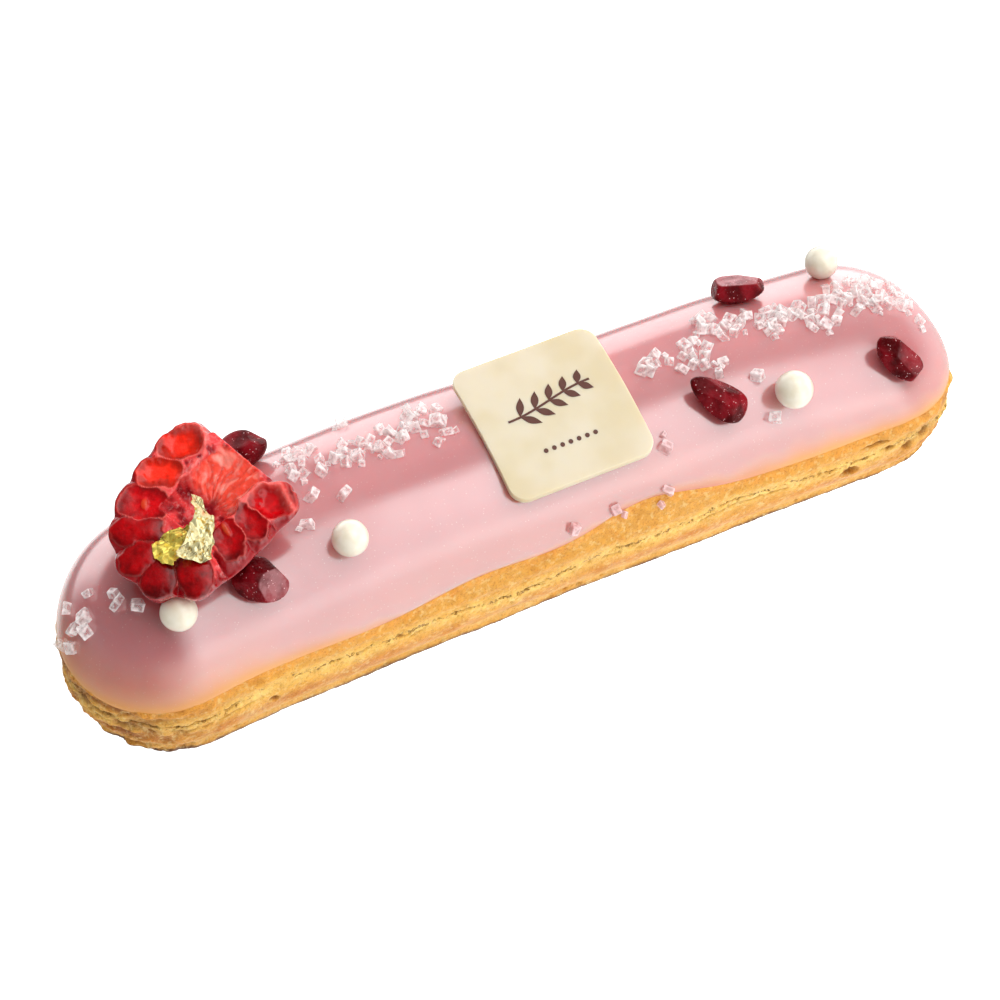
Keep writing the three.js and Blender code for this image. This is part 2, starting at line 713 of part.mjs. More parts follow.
function berryGeometry() {
  const BLOCK = 60;
  const above = new THREE.BoxGeometry(BLOCK, BLOCK, BLOCK);
  above.translate(0, 0, BLOCK / 2);
  let body = berryCore();
  drupelets().forEach((grain) => {
    body = body.add(ellipsoid(grain, DRUPELET_RADIUS, DRUPELET_RADIUS, DRUPELET_RADIUS));
  });
  CELLS.forEach((cell) => {
    const middle = { ...cell, z: -CELL_SINK };
    body = body.add(ellipsoid(middle, cell.long + CELL_WALL, cell.wide + CELL_WALL, CELL_DEPTH));
  });
  body = body.subtract(solid(above));
  body = body.subtract(ellipsoid(BERRY_HOLLOW, BERRY_HOLLOW.long, BERRY_HOLLOW.wide, BERRY_HOLLOW.deep));
  CELLS.filter((cell) => cell.hollowed > 0).forEach((cell) => {
    body = body.subtract(ellipsoid(cell, cell.long - CELL_WALL, cell.wide - CELL_WALL, cell.hollowed));
  });
  return geometryOf(outerShell(body));
}

// A topping grown about its middle by the clearance, to press a hollow into a softer one
function grown(geometry) {
  geometry.computeBoundingSphere();
  const { center, radius } = geometry.boundingSphere;
  const larger = geometry.clone();
  larger.translate(-center.x, -center.y, -center.z);
  larger.scale(...new THREE.Vector3().setScalar(1 + CLEARANCE / radius));
  larger.translate(center.x, center.y, center.z);
  return solid(larger);
}

function turnBerry(geometry) {
  const turn = new THREE.Euler(radians(BERRY_ROLL), -radians(BERRY_RISE), radians(BERRY_HEADING), 'ZYX');
  geometry.applyQuaternion(new THREE.Quaternion().setFromEuler(turn));
}

// Gold leaf: a crumpled sheet of even thickness over the cut face
function leafGeometry() {
  const crumple = (along, side) => LEAF_CRUMPLE
    * Math.sin(along / LEAF_WAVES[0] + side / LEAF_WAVES[1])
    * Math.cos(side / LEAF_WAVES[2] - along / LEAF_WAVES[3]);
  const face = (lift) => LEAF_ROWS.flatMap(({ along, left, right }) => {
    const columns = Array.from({ length: LEAF_COLUMNS }, (_, column) => column / (LEAF_COLUMNS - 1));
    return columns.map((share) => {
      const side = -lerp(right, left, share);
      return new THREE.Vector3(along, side, LEAF_HEIGHT + crumple(along, side) + lift);
    });
  });
  const points = [...face(0), ...face(LEAF_THICKNESS)];
  const top = LEAF_ROWS.length * LEAF_COLUMNS;
  const triangles = [];
  const quad = (a, b, c, d) => triangles.push(a, b, c, a, c, d);
  const at = (row, column) => row * LEAF_COLUMNS + column;
  const lastRow = LEAF_ROWS.length - 1;
  const lastColumn = LEAF_COLUMNS - 1;
  for (let row = 0; row < lastRow; row += 1) {
    for (let column = 0; column < lastColumn; column += 1) {
      const [a, b] = [at(row, column), at(row + 1, column)];
      quad(a, a + 1, b + 1, b);
      triangles.push(top + a, top + b + 1, top + a + 1, top + a, top + b, top + b + 1);
    }
    const [left, right] = [at(row, 0), at(row, lastColumn)];
    const [leftNext, rightNext] = [at(row + 1, 0), at(row + 1, lastColumn)];
    quad(left, leftNext, top + leftNext, top + left);
    quad(right, top + right, top + rightNext, rightNext);
  }
  for (let column = 0; column < lastColumn; column += 1) {
    const [low, high] = [at(0, column), at(lastRow, column)];
    quad(low, top + low, top + low + 1, low + 1);
    quad(high, high + 1, top + high + 1, top + high);
  }
  return meshFrom(points, triangles);
}

// The assembly

const eclair = new THREE.Group();

function addPiece(name, geometry, color, roughness, metalness = 0) {
  geometry.computeVertexNormals();
  const piece = new THREE.Mesh(geometry, new THREE.MeshStandardMaterial({ color, roughness, metalness }));
  piece.name = name;
  eclair.add(piece);
}

addPiece('choux', chouxGeometry(), 0xd9a04a, 0.7);
addPiece('icing', icingGeometry(), 0xe8b4bb, 0.25);
PEARLS.forEach((pearl, index) => {
  addPiece(`pearl_${index + 1}`, pearlGeometry(pearl), 0xf4efe2, 0.3);
});
ARILS.forEach((aril, index) => {
  addPiece(`pomegranate_${index + 1}`, arilGeometry(aril), 0x6b0f1e, 0.25);
});
addPiece('plaque', plaqueGeometry(), 0xf3e6c4, 0.45);

const berry = berryGeometry();
turnBerry(berry);
const berryLift = settle(berry, ...BERRY_PLACE);
const besideBerry = [pearlGeometry(PEARLS[0]), ...ARILS.slice(0, 2).map(arilGeometry)];
const dentedBerry = besideBerry.reduce((body, topping) => body.subtract(grown(topping)), solid(berry));
addPiece('raspberry', geometryOf(outerShell(dentedBerry)), 0xc4121f, 0.3);

const leaf = leafGeometry();
turnBerry(leaf);
leaf.translate(...BERRY_PLACE, berryLift);
addPiece('gold_leaf', leaf, 0xd8b13a, 0.3, 1);

export default eclair;
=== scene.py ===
"""Looks of an iced eclair: choux pastry, pink icing, half a raspberry with gold leaf, a chocolate plaque,
pomegranate arils, sugar pearls and coarse sugar.

Shapes are worked out in millimetres in the part's own frame and become metres in add_piece()."""
import itertools
import math

import bmesh
import bpy
import numpy as np
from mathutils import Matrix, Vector


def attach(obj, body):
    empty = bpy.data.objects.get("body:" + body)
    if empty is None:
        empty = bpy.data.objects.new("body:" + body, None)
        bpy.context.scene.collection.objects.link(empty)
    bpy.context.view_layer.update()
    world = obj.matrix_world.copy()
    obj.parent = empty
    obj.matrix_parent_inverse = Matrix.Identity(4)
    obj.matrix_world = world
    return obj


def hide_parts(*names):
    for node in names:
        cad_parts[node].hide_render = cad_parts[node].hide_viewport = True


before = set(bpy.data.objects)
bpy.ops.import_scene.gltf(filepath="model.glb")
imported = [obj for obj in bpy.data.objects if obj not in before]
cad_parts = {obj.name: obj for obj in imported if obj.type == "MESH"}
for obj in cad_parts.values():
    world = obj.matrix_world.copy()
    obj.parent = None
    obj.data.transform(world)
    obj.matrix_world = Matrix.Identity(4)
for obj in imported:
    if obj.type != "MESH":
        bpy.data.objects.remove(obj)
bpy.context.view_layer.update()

MM = 0.001


def table(names, *rows):
    """Rows of values, each as a dictionary with the given names."""
    return [dict(zip(names.split(), row)) for row in rows]


def srgb(*colour):
    """Linear red, green and blue of a colour given in bytes."""
    share = np.array(colour) / 255
    return np.where(share <= 0.04045, share / 12.92, ((share + 0.055) / 1.055) ** 2.4)


# The eclair's skin
LENGTH = 150.0
HALF_WIDTH = 17.3
HEIGHT = 27.8
WIDEST_LEVEL = 11.5
BASE_HALF_WIDTH = 14.3
DOME_POWER = 2.25
BOW = 1.0
LEFT_SWING = 1.3
FULLNESS = 0.022
FULLEST_X = -22.0
FULLEST_SPREAD = 25.0
CREST_RISE = 1.3
CREST_X = -22.0
CREST_SPREAD = 22.0
DROOP = 4.0
DROOP_START = 30.0
LEFT_END_POWER = 2.0
RIGHT_END_POWER = 2.35
HALF_LENGTH = LENGTH / 2
RUN = HALF_LENGTH - HALF_WIDTH
SIDE_COLUMNS = 400
END_COLUMNS = 180

# Pastry: rows of points, levels of its bands, how far each feature stands out, how much painted shade
# darkens its recesses
PASTRY_ROWS = 74
PASTRY_TUCK = 0.4
PASTRY_PINCH = 0.1
UNDER_ROWS = 8
UNDER_START = 0.06
UNDER_DEPTH = 0.6
FOOT_LEVEL = 0.7
LOW_GROOVE_LEVEL = 2.7
BELLY_LEVEL = 6.2
CRACK_LEVEL = 10.1
CRACK_WANDER = 0.55
SECOND_CRACK_DROP = 1.3
SHOULDER_LEVEL = 12.6
CRAG_START = 50.0
PASTRY_RELIEF = dict(
    foot=0.4, groove=-0.55, belly=0.4, shoulder=0.3, crack=-0.6, second=-0.35, holes=-0.35, low_holes=-0.4,
    pits=-1.0, strata=0.55, waves=0.22, bumps=0.1, grain=1.0,
)
# Painted shade: how strongly the crack, the second crack and the holes are darkened, as shade inside these
# recesses
PASTRY_RECESS_SHADE = dict(crack=1.0, second=0.8, holes=0.6, low_holes=0.7)
PASTRY_PITS = table(
    "x z long high deep",
    (51.0, 7.3, 1.7, 1.1, 1.2), (55.0, 12.2, 2.8, 0.35, 0.9), (61.5, 8.2, 1.2, 0.9, 0.8),
    (65.0, 9.4, 1.0, 0.8, 0.8), (58.0, 9.8, 1.0, 0.5, 0.6), (-27.2, 9.9, 0.6, 0.5, 0.5),
    (-48.6, 7.9, 1.0, 0.6, 0.6), (-18.4, 3.5, 0.7, 0.4, 0.5), (-8.0, 4.6, 0.8, 0.45, 0.5),
)
GOLD = srgb(220, 160, 58)
SHOULDER_OCHRE = srgb(212, 150, 54)
PALE_CRUMB = srgb(238, 196, 104)
GLAZED_GOLD = srgb(222, 150, 54)
BELLY_ORANGE = srgb(202, 128, 34)
FOOT_BROWN = srgb(104, 62, 26)
CRACK_SHADE_BROWN = srgb(124, 72, 20)
PIT_SHADE_OCHRE = srgb(146, 90, 22)
GROOVE_CREAM = srgb(240, 200, 132)
END_BROWN_AND_GROOVE_SHADE = srgb(150, 92, 42)
BAKED_SHADE = (0.82, 0.64, 0.38)
FLOURED = (0.82, 0.60, 0.24)
CRUMB_SHADE = (0.66, 0.46, 0.2)
SLIT_SHADE_BROWN = (0.36, 0.17, 0.025)

# Icing: rows of points near its edge by distance, its wavy lower edge, and colours
ICING_ROWS = 70
ICING_LIP_ROWS = (0.0, 0.02, 0.07, 0.15, 0.27, 0.42, 0.6, 0.85, 1.15, 1.5)
ICING_LEVEL = 14.4
ICING_HUMPS = table("rise x spread", (1.5, -14.0, 12.0), (4.0, 14.0, 11.5))
ICING_END_DROP = 1.7
ICING_END_START = 50.0
ICING_RIPPLE = 0.3
ICING_RIPPLE_PITCH = 38.0
ICING_PROUD = 0.3
ICING_LIP = 1.6
ICING_SUNK = 0.1
ICING_INNER_DEPTH = 1.0
PINK = np.array([0.53, 0.194, 0.199])
PEACH = np.array([0.68, 0.32, 0.17])
EDGE_GOLD = np.array([0.74, 0.33, 0.08])
EDGE_PINK = np.array([0.62, 0.23, 0.16])
WARM_PINK = np.array([0.65, 0.24, 0.158])
# How much paler the icing is painted towards the back: painted light
CROWN_PAINTED_LIGHT = 0.2
ICING_CLOUD = (0.92, 0.86, 0.87)
ICING_SPECK_AND_GLINT = (0.9, 0.72, 0.7)

# Coarse sugar: single crystals by place, then patches of strewn ones
SUGAR_SIZE = (1.0, 1.85)
SUGAR_FULL = 1.12
SUGAR_SKEW = 0.2
SUGAR_WORN = (0.05, 0.14)
SUGAR_SINK = 0.16
SUGAR_TILT = 0.8
SUGAR_SPACING = 1.5
SUGAR_MARGIN = 1.6
SUGAR_TRIES = 400
SUGAR_EDGE = 0.97
SUGAR_SPOTS = (
    (-72.1, 2.0), (-69.0, 0.4), (-66.3, -2.4), (-66.4, -4.0), (-64.0, -5.9), (-70.9, -2.0), (-72.7, -1.6),
    (-71.4, -3.8), (-74.4, -0.4), (-73.7, -2.9), (-33.7, -0.4), (-29.3, -2.3), (-36.4, -4.5), (-23.0, 12.3),
    (-12.4, 0.6), (-10.5, 2.0), (34.4, -3.0), (32.9, -4.7), (38.4, -6.9), (38.4, -12.6), (69.3, -4.4),
    (19.9, -11.4), (18.5, -15.1), (2.3, -15.2), (9.5, -15.0),
)
SUGAR_PATCHES = table(
    "x y half_x half_y count",
    (-32.3, 6.2, 3.2, 3.8, 10), (-25.5, 4.2, 3.5, 2.6, 7), (-19.0, 4.0, 3.0, 3.0, 9),
    (-12.2, 5.5, 2.8, 4.6, 8), (24.5, 0.6, 3.0, 2.2, 6), (31.0, -0.5, 3.4, 3.0, 9),
    (38.0, 4.2, 3.6, 3.4, 10), (45.5, 2.6, 4.2, 3.2, 12), (53.0, 0.4, 4.0, 3.4, 11),
    (61.5, 2.8, 4.6, 4.2, 18), (67.5, 1.2, 3.0, 3.4, 8),
)
SUGAR_SEED = 29
WEAR_SEED = 77
CRUMB_SHARE = 0.45
CRUMB_SIZE = (0.5, 1.0)
CRUMB_AWAY = 1.5
CRUMB_TILTS = (20, -15)
GLAZED_SUGAR = (0.0, 24.0, -9.5)
CRYSTAL_CORNERS = 24
CRYSTAL_FACES = 6
CLEAR_SUGAR = (0.98, 0.90, 0.88)
CLOUDED_SUGAR = (1.0, 0.98, 0.96)
PINK_SUGAR = (0.84, 0.56, 0.56)

# Sugar pearls
PEARLS = table("x y radius", (-59.7, -11.1, 2.8), (-32.0, -10.2, 2.8), (42.1, -12.2, 3.0), (59.6, 9.8, 2.7))
PEARL_GRID = (49, 72)
TOPPING_SINK = 0.15
PEARL_CREAM = (0.76, 0.69, 0.535)
PEARL_WHITE = (0.83, 0.775, 0.645)

# Pomegranate arils: size, the painted sheen on the first flat, and flats as bearing, climb and reach of a
# unit ball
ARILS = table(
    "x y long wide thick heading taper frost flats",
    (-39.0, 13.8, 8.8, 6.6, 6.2, -50, 0.15, 0.1, (
        (-60, 50, 0.8), (60, 30, 0.8), (180, 20, 0.85), (0, 30, 0.8), (-120, 10, 0.82))),
    (-46.8, -11.1, 8.8, 7.2, 6.2, -40, 0.1, 0.6, (
        (-8, 46, 0.64), (120, 35, 0.76), (-110, 25, 0.76), (60, 10, 0.82), (180, 30, 0.8),
        (-60, -20, 0.85))),
    (30.4, -9.4, 10.2, 7.2, 5.2, 127, 0.45, 0.0, (
        (-90, 35, 0.74), (90, 30, 0.76), (180, 25, 0.76), (-150, 50, 0.78), (0, 60, 0.8))),
    (44.1, 9.8, 9.2, 6.4, 4.6, -16, 0.0, 2.2, (
        (-30, 80, 0.56), (-90, 8, 0.68), (90, 10, 0.72), (180, 10, 0.8), (-15, 15, 0.84), (40, 45, 0.8))),
    (61.4, -12.0, 9.2, 5.8, 5.0, -60, 0.05, 0.15, (
        (0, 75, 0.72), (100, 25, 0.76), (-80, 25, 0.74), (0, 10, 0.86), (150, 15, 0.84), (-160, 40, 0.8))),
)
ARIL_GRID = (97, 144)
FLAT_SHARPNESS = 40
ARIL_DARK = (0.062, 0.001, 0.002)
ARIL_RED = (0.22, 0.006, 0.012)
ARIL_FACET_SHEEN = (0.42, 0.19, 0.20)
ARIL_SPECK = (0.85, 0.55, 0.55)

# Chocolate plaque, and the sprig and dots printed on it
PLAQUE_SIDE = 24.2
PLAQUE_CORNER = 2.6
PLAQUE_THICKNESS = 1.1
PLAQUE_TILT = 12.0
PLAQUE_BEND_RADIUS = 60.0
PLAQUE_PLACE = (5.9, -1.4)
PLAQUE_EDGE_ROUND = 0.18
PLAQUE_SINK = 0.1
PLAQUE_WAVE = 0.04
PLAQUE_CREAM = (0.60, 0.515, 0.345)
PLAQUE_PALE = (0.645, 0.575, 0.44)
PRINT_LEVELS = (0.07, -0.1)
STEM_HALF = 7.4
STEM_LEVEL = 1.6
STEM_SWAY = 1.1
STEM_WIDTH = 0.35
LEAF_ROOTS = (0.14, 0.32, 0.5, 0.68, 0.86)
LEAF_WIDTH = 1.15
DOT_ROW = (4.2, -6.0, 7)
DOT_RADIUS = 0.36
COCOA_DARK = (0.075, 0.022, 0.014)
COCOA_LIGHT = (0.11, 0.04, 0.028)

# Raspberry
BERRY_LENGTH = 25.5
BERRY_RADIUS = 11.4
BERRY_FULLEST = 0.58
BERRY_MOUTH_SHRINK = 0.12
BERRY_FLATTEN = 0.82
BERRY_ROWS = (0.17, 0.36, 0.56, 0.76)
BERRY_PLACE = (-54.0, -3.0)
BERRY_SINK = 0.2
BERRY_TURNS = (("Z", 21.0), ("Y", -15.0), ("X", 13.0))
BERRY_BEND = 0.8
BERRY_RADII = np.array([12.5, 10.8, 8.4])
BERRY_MOUTH = 12.4
BERRY_MOUTH_ROUND = 2.0
BERRY_PITCH = 0.16
BERRY_RANGES = ((-14.2, 14.6), (-13.2, 13.2), (-12.0, 2.0))
BERRY_SEED = 61
DRUPELET_RADIUS = 3.1
DRUPELET_PITCH = 5.2
DRUPELET_SHIFT = 0.5
DRUPELET_BLEND = 0.5

# Cells of the cut face: middle, half length and width, turn, how far each bulges or is hollowed, colour
BRIGHT_RED = srgb(224, 40, 22)
CLEAR_RED = srgb(180, 6, 14)
DEEP_RED = srgb(146, 1, 6)
DARK_RED = srgb(128, 1, 6)
CELLS = table(
    "x y long wide turn rise colour",
    (7.6, 8.8, 3.6, 2.4, -24, -0.8, BRIGHT_RED),
    (2.7, 8.0, 3.4, 2.5, -52, -0.5, BRIGHT_RED),
    (-2.4, 6.6, 3.5, 2.7, -60, -0.2, CLEAR_RED),
    (-6.0, 4.2, 3.9, 2.4, -46, 0.6, DEEP_RED),
    (-8.7, 1.2, 3.5, 2.3, -22, 0.65, DEEP_RED),
    (-8.9, -2.8, 3.3, 2.5, 18, 0.6, DARK_RED),
    (-5.6, -6.3, 3.4, 2.6, 50, 0.6, DEEP_RED),
    (1.6, -6.4, 3.1, 2.2, 62, -0.25, DEEP_RED),
    (5.4, -7.0, 3.0, 2.3, 77, -0.4, DEEP_RED),
    (10.0, -7.1, 3.5, 2.9, -35, -0.9, CLEAR_RED),
)
CELL_POWER = 2.4
CELL_WALL = 0.35
CELL_DEPTH = 3.4
CELL_SINK = 0.4
CELL_BLEND = 1.5
FACE_ROUND = 0.35
FACE_MIDDLE = (3.0, 0.0)
ROLLED_RIMS = (
    ((9.4, 11.2), (11.0, 9.8), (11.5, 7.2), (9.9, 5.4), (6.9, 4.9), (3.9, 4.7)),
    ((6.7, -3.9), (9.4, -3.9), (11.4, -4.5), (12.4, -6.3), (12.0, -8.4), (10.8, -9.9)),
)
ROLLED_REACH = 0.62
ROLLED_RISE = 0.8
HOLLOW = dict(start=-1.6, deepest=3.6, end=12.6, y=0.3, wide=4.3, deep=4.2)
FAN_CENTRE = (3.6, -0.4)
FAN_LOBE = 15.0
SEEDS = table("x y long wide turn", (2.4, -5.1, 1.3, 0.5, 73), (-2.4, 6.5, 1.0, 0.6, 40))
SEED_RISE = 0.2
FLESH_PINK = srgb(240, 108, 100)
WALL_RED = srgb(255, 88, 68)
STREAK_PINK = srgb(255, 160, 144)
BAND_PINK = srgb(220, 64, 66)
DEEP_BAND = srgb(136, 14, 26)
SKIN_RED = srgb(146, 6, 16)
BLOOM_AND_LIT_PINK = srgb(204, 100, 108)
SEED_ORANGE = srgb(238, 128, 62)
VEIN_PINK = (0.72, 0.30, 0.28)

# Gold leaf: strips of left and right edge points with how much painted light each carries, and folds as
# width and height
LEAF_STRIPS = table(
    "height pale lean rows",
    (0.3, 0.8, 1.1, (
        ((2.5, 1.5), (3.5, 0.7)), ((1.6, 0.6), (2.8, -0.5)), ((1.1, -0.5), (2.5, -1.7)),
        ((-0.3, -1.1), (2.5, -2.8)), ((-2.1, -1.9), (0.8, -4.4)), ((-3.6, -2.4), (-1.0, -5.8)),
        ((-5.2, -2.9), (-2.4, -6.9)), ((-6.0, -3.2), (-4.0, -6.4)))),
    (0.05, 0.1, 0.1, (
        ((-0.3, -1.0), (-4.2, -3.0)), ((-1.8, -0.3), (-6.1, -3.3)), ((-3.2, 0.5), (-6.8, -3.4)),
        ((-4.8, 0.8), (-7.8, -2.0)), ((-6.6, 0.7), (-7.5, 0.0)))),
)
LEAF_GRID = (80, 44)
LEAF_FRAY = 0.22
LEAF_THICKNESS = 0.06
LEAF_LOWEST = 0.2
LEAF_FOLDS = ((3.1, 0.4), (2.3, 0.34), (1.7, 0.25), (1.2, 0.16), (0.8, 0.09))
# How wide the painted shade along the fold valleys is
LEAF_CREASE = 0.08
LEAF_SEED = 100
YELLOW_LEAF = (1.0, 0.78, 0.09)
PALE_LEAF_PAINTED_LIGHT = (1.0, 0.93, 0.58)
BRONZE_LEAF = (0.60, 0.34, 0.02)
CREASE_SHADE_BROWN = (0.12, 0.06, 0.005)

# Light: how bright each part of the room is, the floor's glow from left to right, and the soft box
BOX_RADIANCE = 1.6
WALL_RADIANCE = 0.8
BACKDROP_RADIANCE = 1.3
CEILING_RADIANCE = 0.28
ROOM_RADIANCE = 0.08
FLOOR_HALF = 4.0
FLOOR_DROP = 0.0002
FLOOR_FADE = (-0.08, 0.06)
FLOOR_GLOW = (1.36, 1.85)
KEY_PLACE = (330, 20, 780)
KEY_SIDE = 1700
KEY_RADIANCE = 1.52

# Camera: what it looks at, its angle, distance and scale in pixels per millimetre
IMAGE_SIDE = 1000
CAMERA_TARGET = (0.0, 0.0, 15.0)
CAMERA_AZIMUTH = -26.5
CAMERA_ELEVATION = 50.0
CAMERA_DISTANCE = 500.0
CAMERA_SCALE = 6.45
TARGET_PIXEL = (514, 478)
SENSOR = 36.0


# Numbers

def draws(seed):
    """A repeatable run of draws between 0 and 1."""
    modulus, factor = 2147483647, 16807
    state = seed
    while True:
        state = state * factor % modulus
        yield state / modulus


def lerp(low, high, share):
    return low + (high - low) * share


def painted(colour, *coats):
    """Colours with coats of other colours laid over them, each by its share at every point."""
    for coat, share in coats:
        colour = colour + (coat - colour) * share[..., None]
    return colour


def smooth(value, low, high):
    """0 at low, 1 at high, eased between."""
    share = np.clip((value - low) / (high - low), 0, 1)
    return share * share * (3 - 2 * share)


def bell(value, centre, reach):
    return np.exp(-(((value - centre) / reach) ** 2))


def scatter(cells, seed):
    """A seeded value between 0 and 1 for each whole-numbered cell, by an integer hash."""
    mixed = seed * 668265263 + np.zeros(cells.shape[:-1], np.int64)
    for axis, prime in zip(range(cells.shape[-1]), (374761393, 1274126177, 2246822519)):
        mixed = (mixed ^ (cells[..., axis] * prime)) & 0xFFFFFFFF
        mixed = (mixed ^ (mixed >> 15)) * 2654435761 & 0xFFFFFFFF
    mixed = (mixed ^ (mixed >> 13)) * 1540483477 & 0xFFFFFFFF
    return ((mixed ^ (mixed >> 16)) & 0xFFFFFF) / 0xFFFFFF


def noise(points, size, seed):
    """Smooth seeded noise between -1 and 1, with features about a size long."""
    places = np.asarray(points, float) / size
    base = np.floor(places).astype(np.int64)
    part = places - base
    part = part * part * (3 - 2 * part)
    total = np.zeros(places.shape[:-1])
    for corner in itertools.product((0, 1), repeat=places.shape[-1]):
        weight = np.prod(np.where(np.array(corner) == 1, part, 1 - part), axis=-1)
        total += weight * scatter(base + np.array(corner), seed)
    return 2 * total - 1


def pits(u, v, pitch, share, radius, seed):
    """Round pits, one in a share of the squares of a grid: 1 in their middle, 0 outside."""
    places = np.stack([u, v], -1) / pitch
    base = np.floor(places).astype(np.int64)
    deepest = np.zeros(np.shape(u))
    for step in itertools.product((-1, 0, 1), repeat=2):
        cell = base + np.array(step)
        centre = cell + 0.2 + 0.6 * np.stack([scatter(cell, seed), scatter(cell, seed + 1)], -1)
        size = lerp(radius[0], radius[1], scatter(cell, seed + 2)) / pitch
        away = np.linalg.norm(places - centre, axis=-1) / size
        there = scatter(cell, seed + 3) < share
        deepest = np.maximum(deepest, np.where(there, 1 - smooth(away, 0.35, 1.0), 0))
    return deepest


# The eclair's outer skin

def width_at(x):
    """How much wider the eclair is than its plain form."""
    return 1 + FULLNESS * bell(x, FULLEST_X, FULLEST_SPREAD)


def bow_at(x):
    """The spine in plan: bowed to the back, further where the body is full, forward at the left end."""
    swing = LEFT_SWING * np.maximum(-x / HALF_LENGTH, 0) ** 3
    return BOW * (1 - (x / HALF_LENGTH) ** 2) + HALF_WIDTH * (width_at(x) - 1) - swing


def top_at(x):
    crest = CREST_RISE * bell(x, CREST_X, CREST_SPREAD)
    return HEIGHT + crest - DROOP * smooth(x, DROOP_START, HALF_LENGTH)


def across_at(x, y):
    """Distance in plan from the spine."""
    power = np.where(np.asarray(x) > 0, RIGHT_END_POWER, LEFT_END_POWER)
    along = np.abs(x - np.clip(x, -RUN, RUN))
    aside = np.abs(y - bow_at(x)) / width_at(x)
    return (along ** power + aside ** power) ** (1 / power)


def dome_at(x, y):
    """Height of the domed skin above a place in plan."""
    share = np.minimum(across_at(x, y) / HALF_WIDTH, 1)
    return WIDEST_LEVEL + (top_at(x) - WIDEST_LEVEL) * (1 - share ** DOME_POWER) ** (1 / DOME_POWER)


def dome_normal(x, y):
    step = 0.05
    slope_x = (dome_at(x + step, y) - dome_at(x - step, y)) / (2 * step)
    slope_y = (dome_at(x, y + step) - dome_at(x, y - step)) / (2 * step)
    return Vector((-slope_x, -slope_y, 1)).normalized()


class Spokes:
    """Columns round the eclair: where each leaves the spine, its direction and its place along the rim."""

    def __init__(self):
        along = np.arange(SIDE_COLUMNS) / SIDE_COLUMNS
        swing = np.pi * np.arange(END_COLUMNS) / END_COLUMNS
        x = np.concatenate([RUN * (2 * along - 1), np.full(END_COLUMNS, RUN)])
        turn = np.concatenate([np.zeros(SIDE_COLUMNS), swing])
        path = np.concatenate([2 * RUN * along, 2 * RUN + HALF_WIDTH * swing])
        half_rim = 2 * RUN + np.pi * HALF_WIDTH
        halves = []
        for way, power, start in ((1, RIGHT_END_POWER, 0), (-1, LEFT_END_POWER, half_rim)):
            sine, cosine = np.sin(turn), np.cos(turn)
            reach = way * (sine ** power + np.abs(cosine) ** power) ** (-1 / power)
            halves.append((way * x, reach * sine, -reach * cosine, path + start))
        self.x, self.out_x, self.out_y, self.path = (np.concatenate(pair) for pair in zip(*halves))
        self.rim_x = self.x + HALF_WIDTH * self.out_x
        self.count = len(self.x)

    def same(self, value):
        """A number or colour repeated for every column."""
        return np.broadcast_to(value, (self.count, *np.shape(value)))

    def points(self, across, level):
        x = self.x + across * self.out_x
        return np.stack([x, across * self.out_y * width_at(x) + bow_at(x), level + 0 * x], -1)

    def icing_level(self):
        """Level of the icing's wavy lower edge."""
        front = (1 - self.out_y) / 2
        hump = front * sum(one["rise"] * bell(self.rim_x, one["x"], one["spread"]) for one in ICING_HUMPS)
        drop = ICING_END_DROP * smooth(np.abs(self.rim_x), ICING_END_START, HALF_LENGTH)
        ripple = ICING_RIPPLE * np.sin(2 * np.pi * self.rim_x / ICING_RIPPLE_PITCH + np.pi * front)
        return ICING_LEVEL + hump - drop + ripple

    def icing_angle(self):
        share = (self.icing_level() - WIDEST_LEVEL) / (top_at(self.rim_x) - WIDEST_LEVEL)
        return np.arcsin(share ** (DOME_POWER / 2))

    def dome_points(self, angle, depth):
        """Points of the dome at an angle up from the widest level, moved in by a depth."""
        across = HALF_WIDTH * np.maximum(np.cos(angle), 0) ** (2 / DOME_POWER)
        rise = top_at(self.x + across * self.out_x) - WIDEST_LEVEL
        lift = np.sin(angle) ** (2 / DOME_POWER)
        normal_out = (across / HALF_WIDTH) ** (DOME_POWER - 1) / HALF_WIDTH
        normal_up = lift ** (DOME_POWER - 1) / rise
        scale = depth / np.hypot(normal_out, normal_up)
        return self.points(across - normal_out * scale, WIDEST_LEVEL + rise * lift - normal_up * scale)


def side_across(level):
    """Half width of the plain skin at a level below or above the widest."""
    drop = np.maximum(WIDEST_LEVEL - level, 0) / WIDEST_LEVEL
    return lerp(HALF_WIDTH, BASE_HALF_WIDTH, drop ** 2)


# Meshes

def grid_faces(rows, columns, wrap=True):
    """Quads of a grid of points, row by row, closed round its columns."""
    across = columns if wrap else columns - 1
    row, column = np.meshgrid(np.arange(rows - 1), np.arange(across), indexing="ij")
    after = (column + 1) % columns
    low, high = row * columns, (row + 1) * columns
    return np.stack([low + column, low + after, high + after, high + column], -1).reshape(-1, 4)


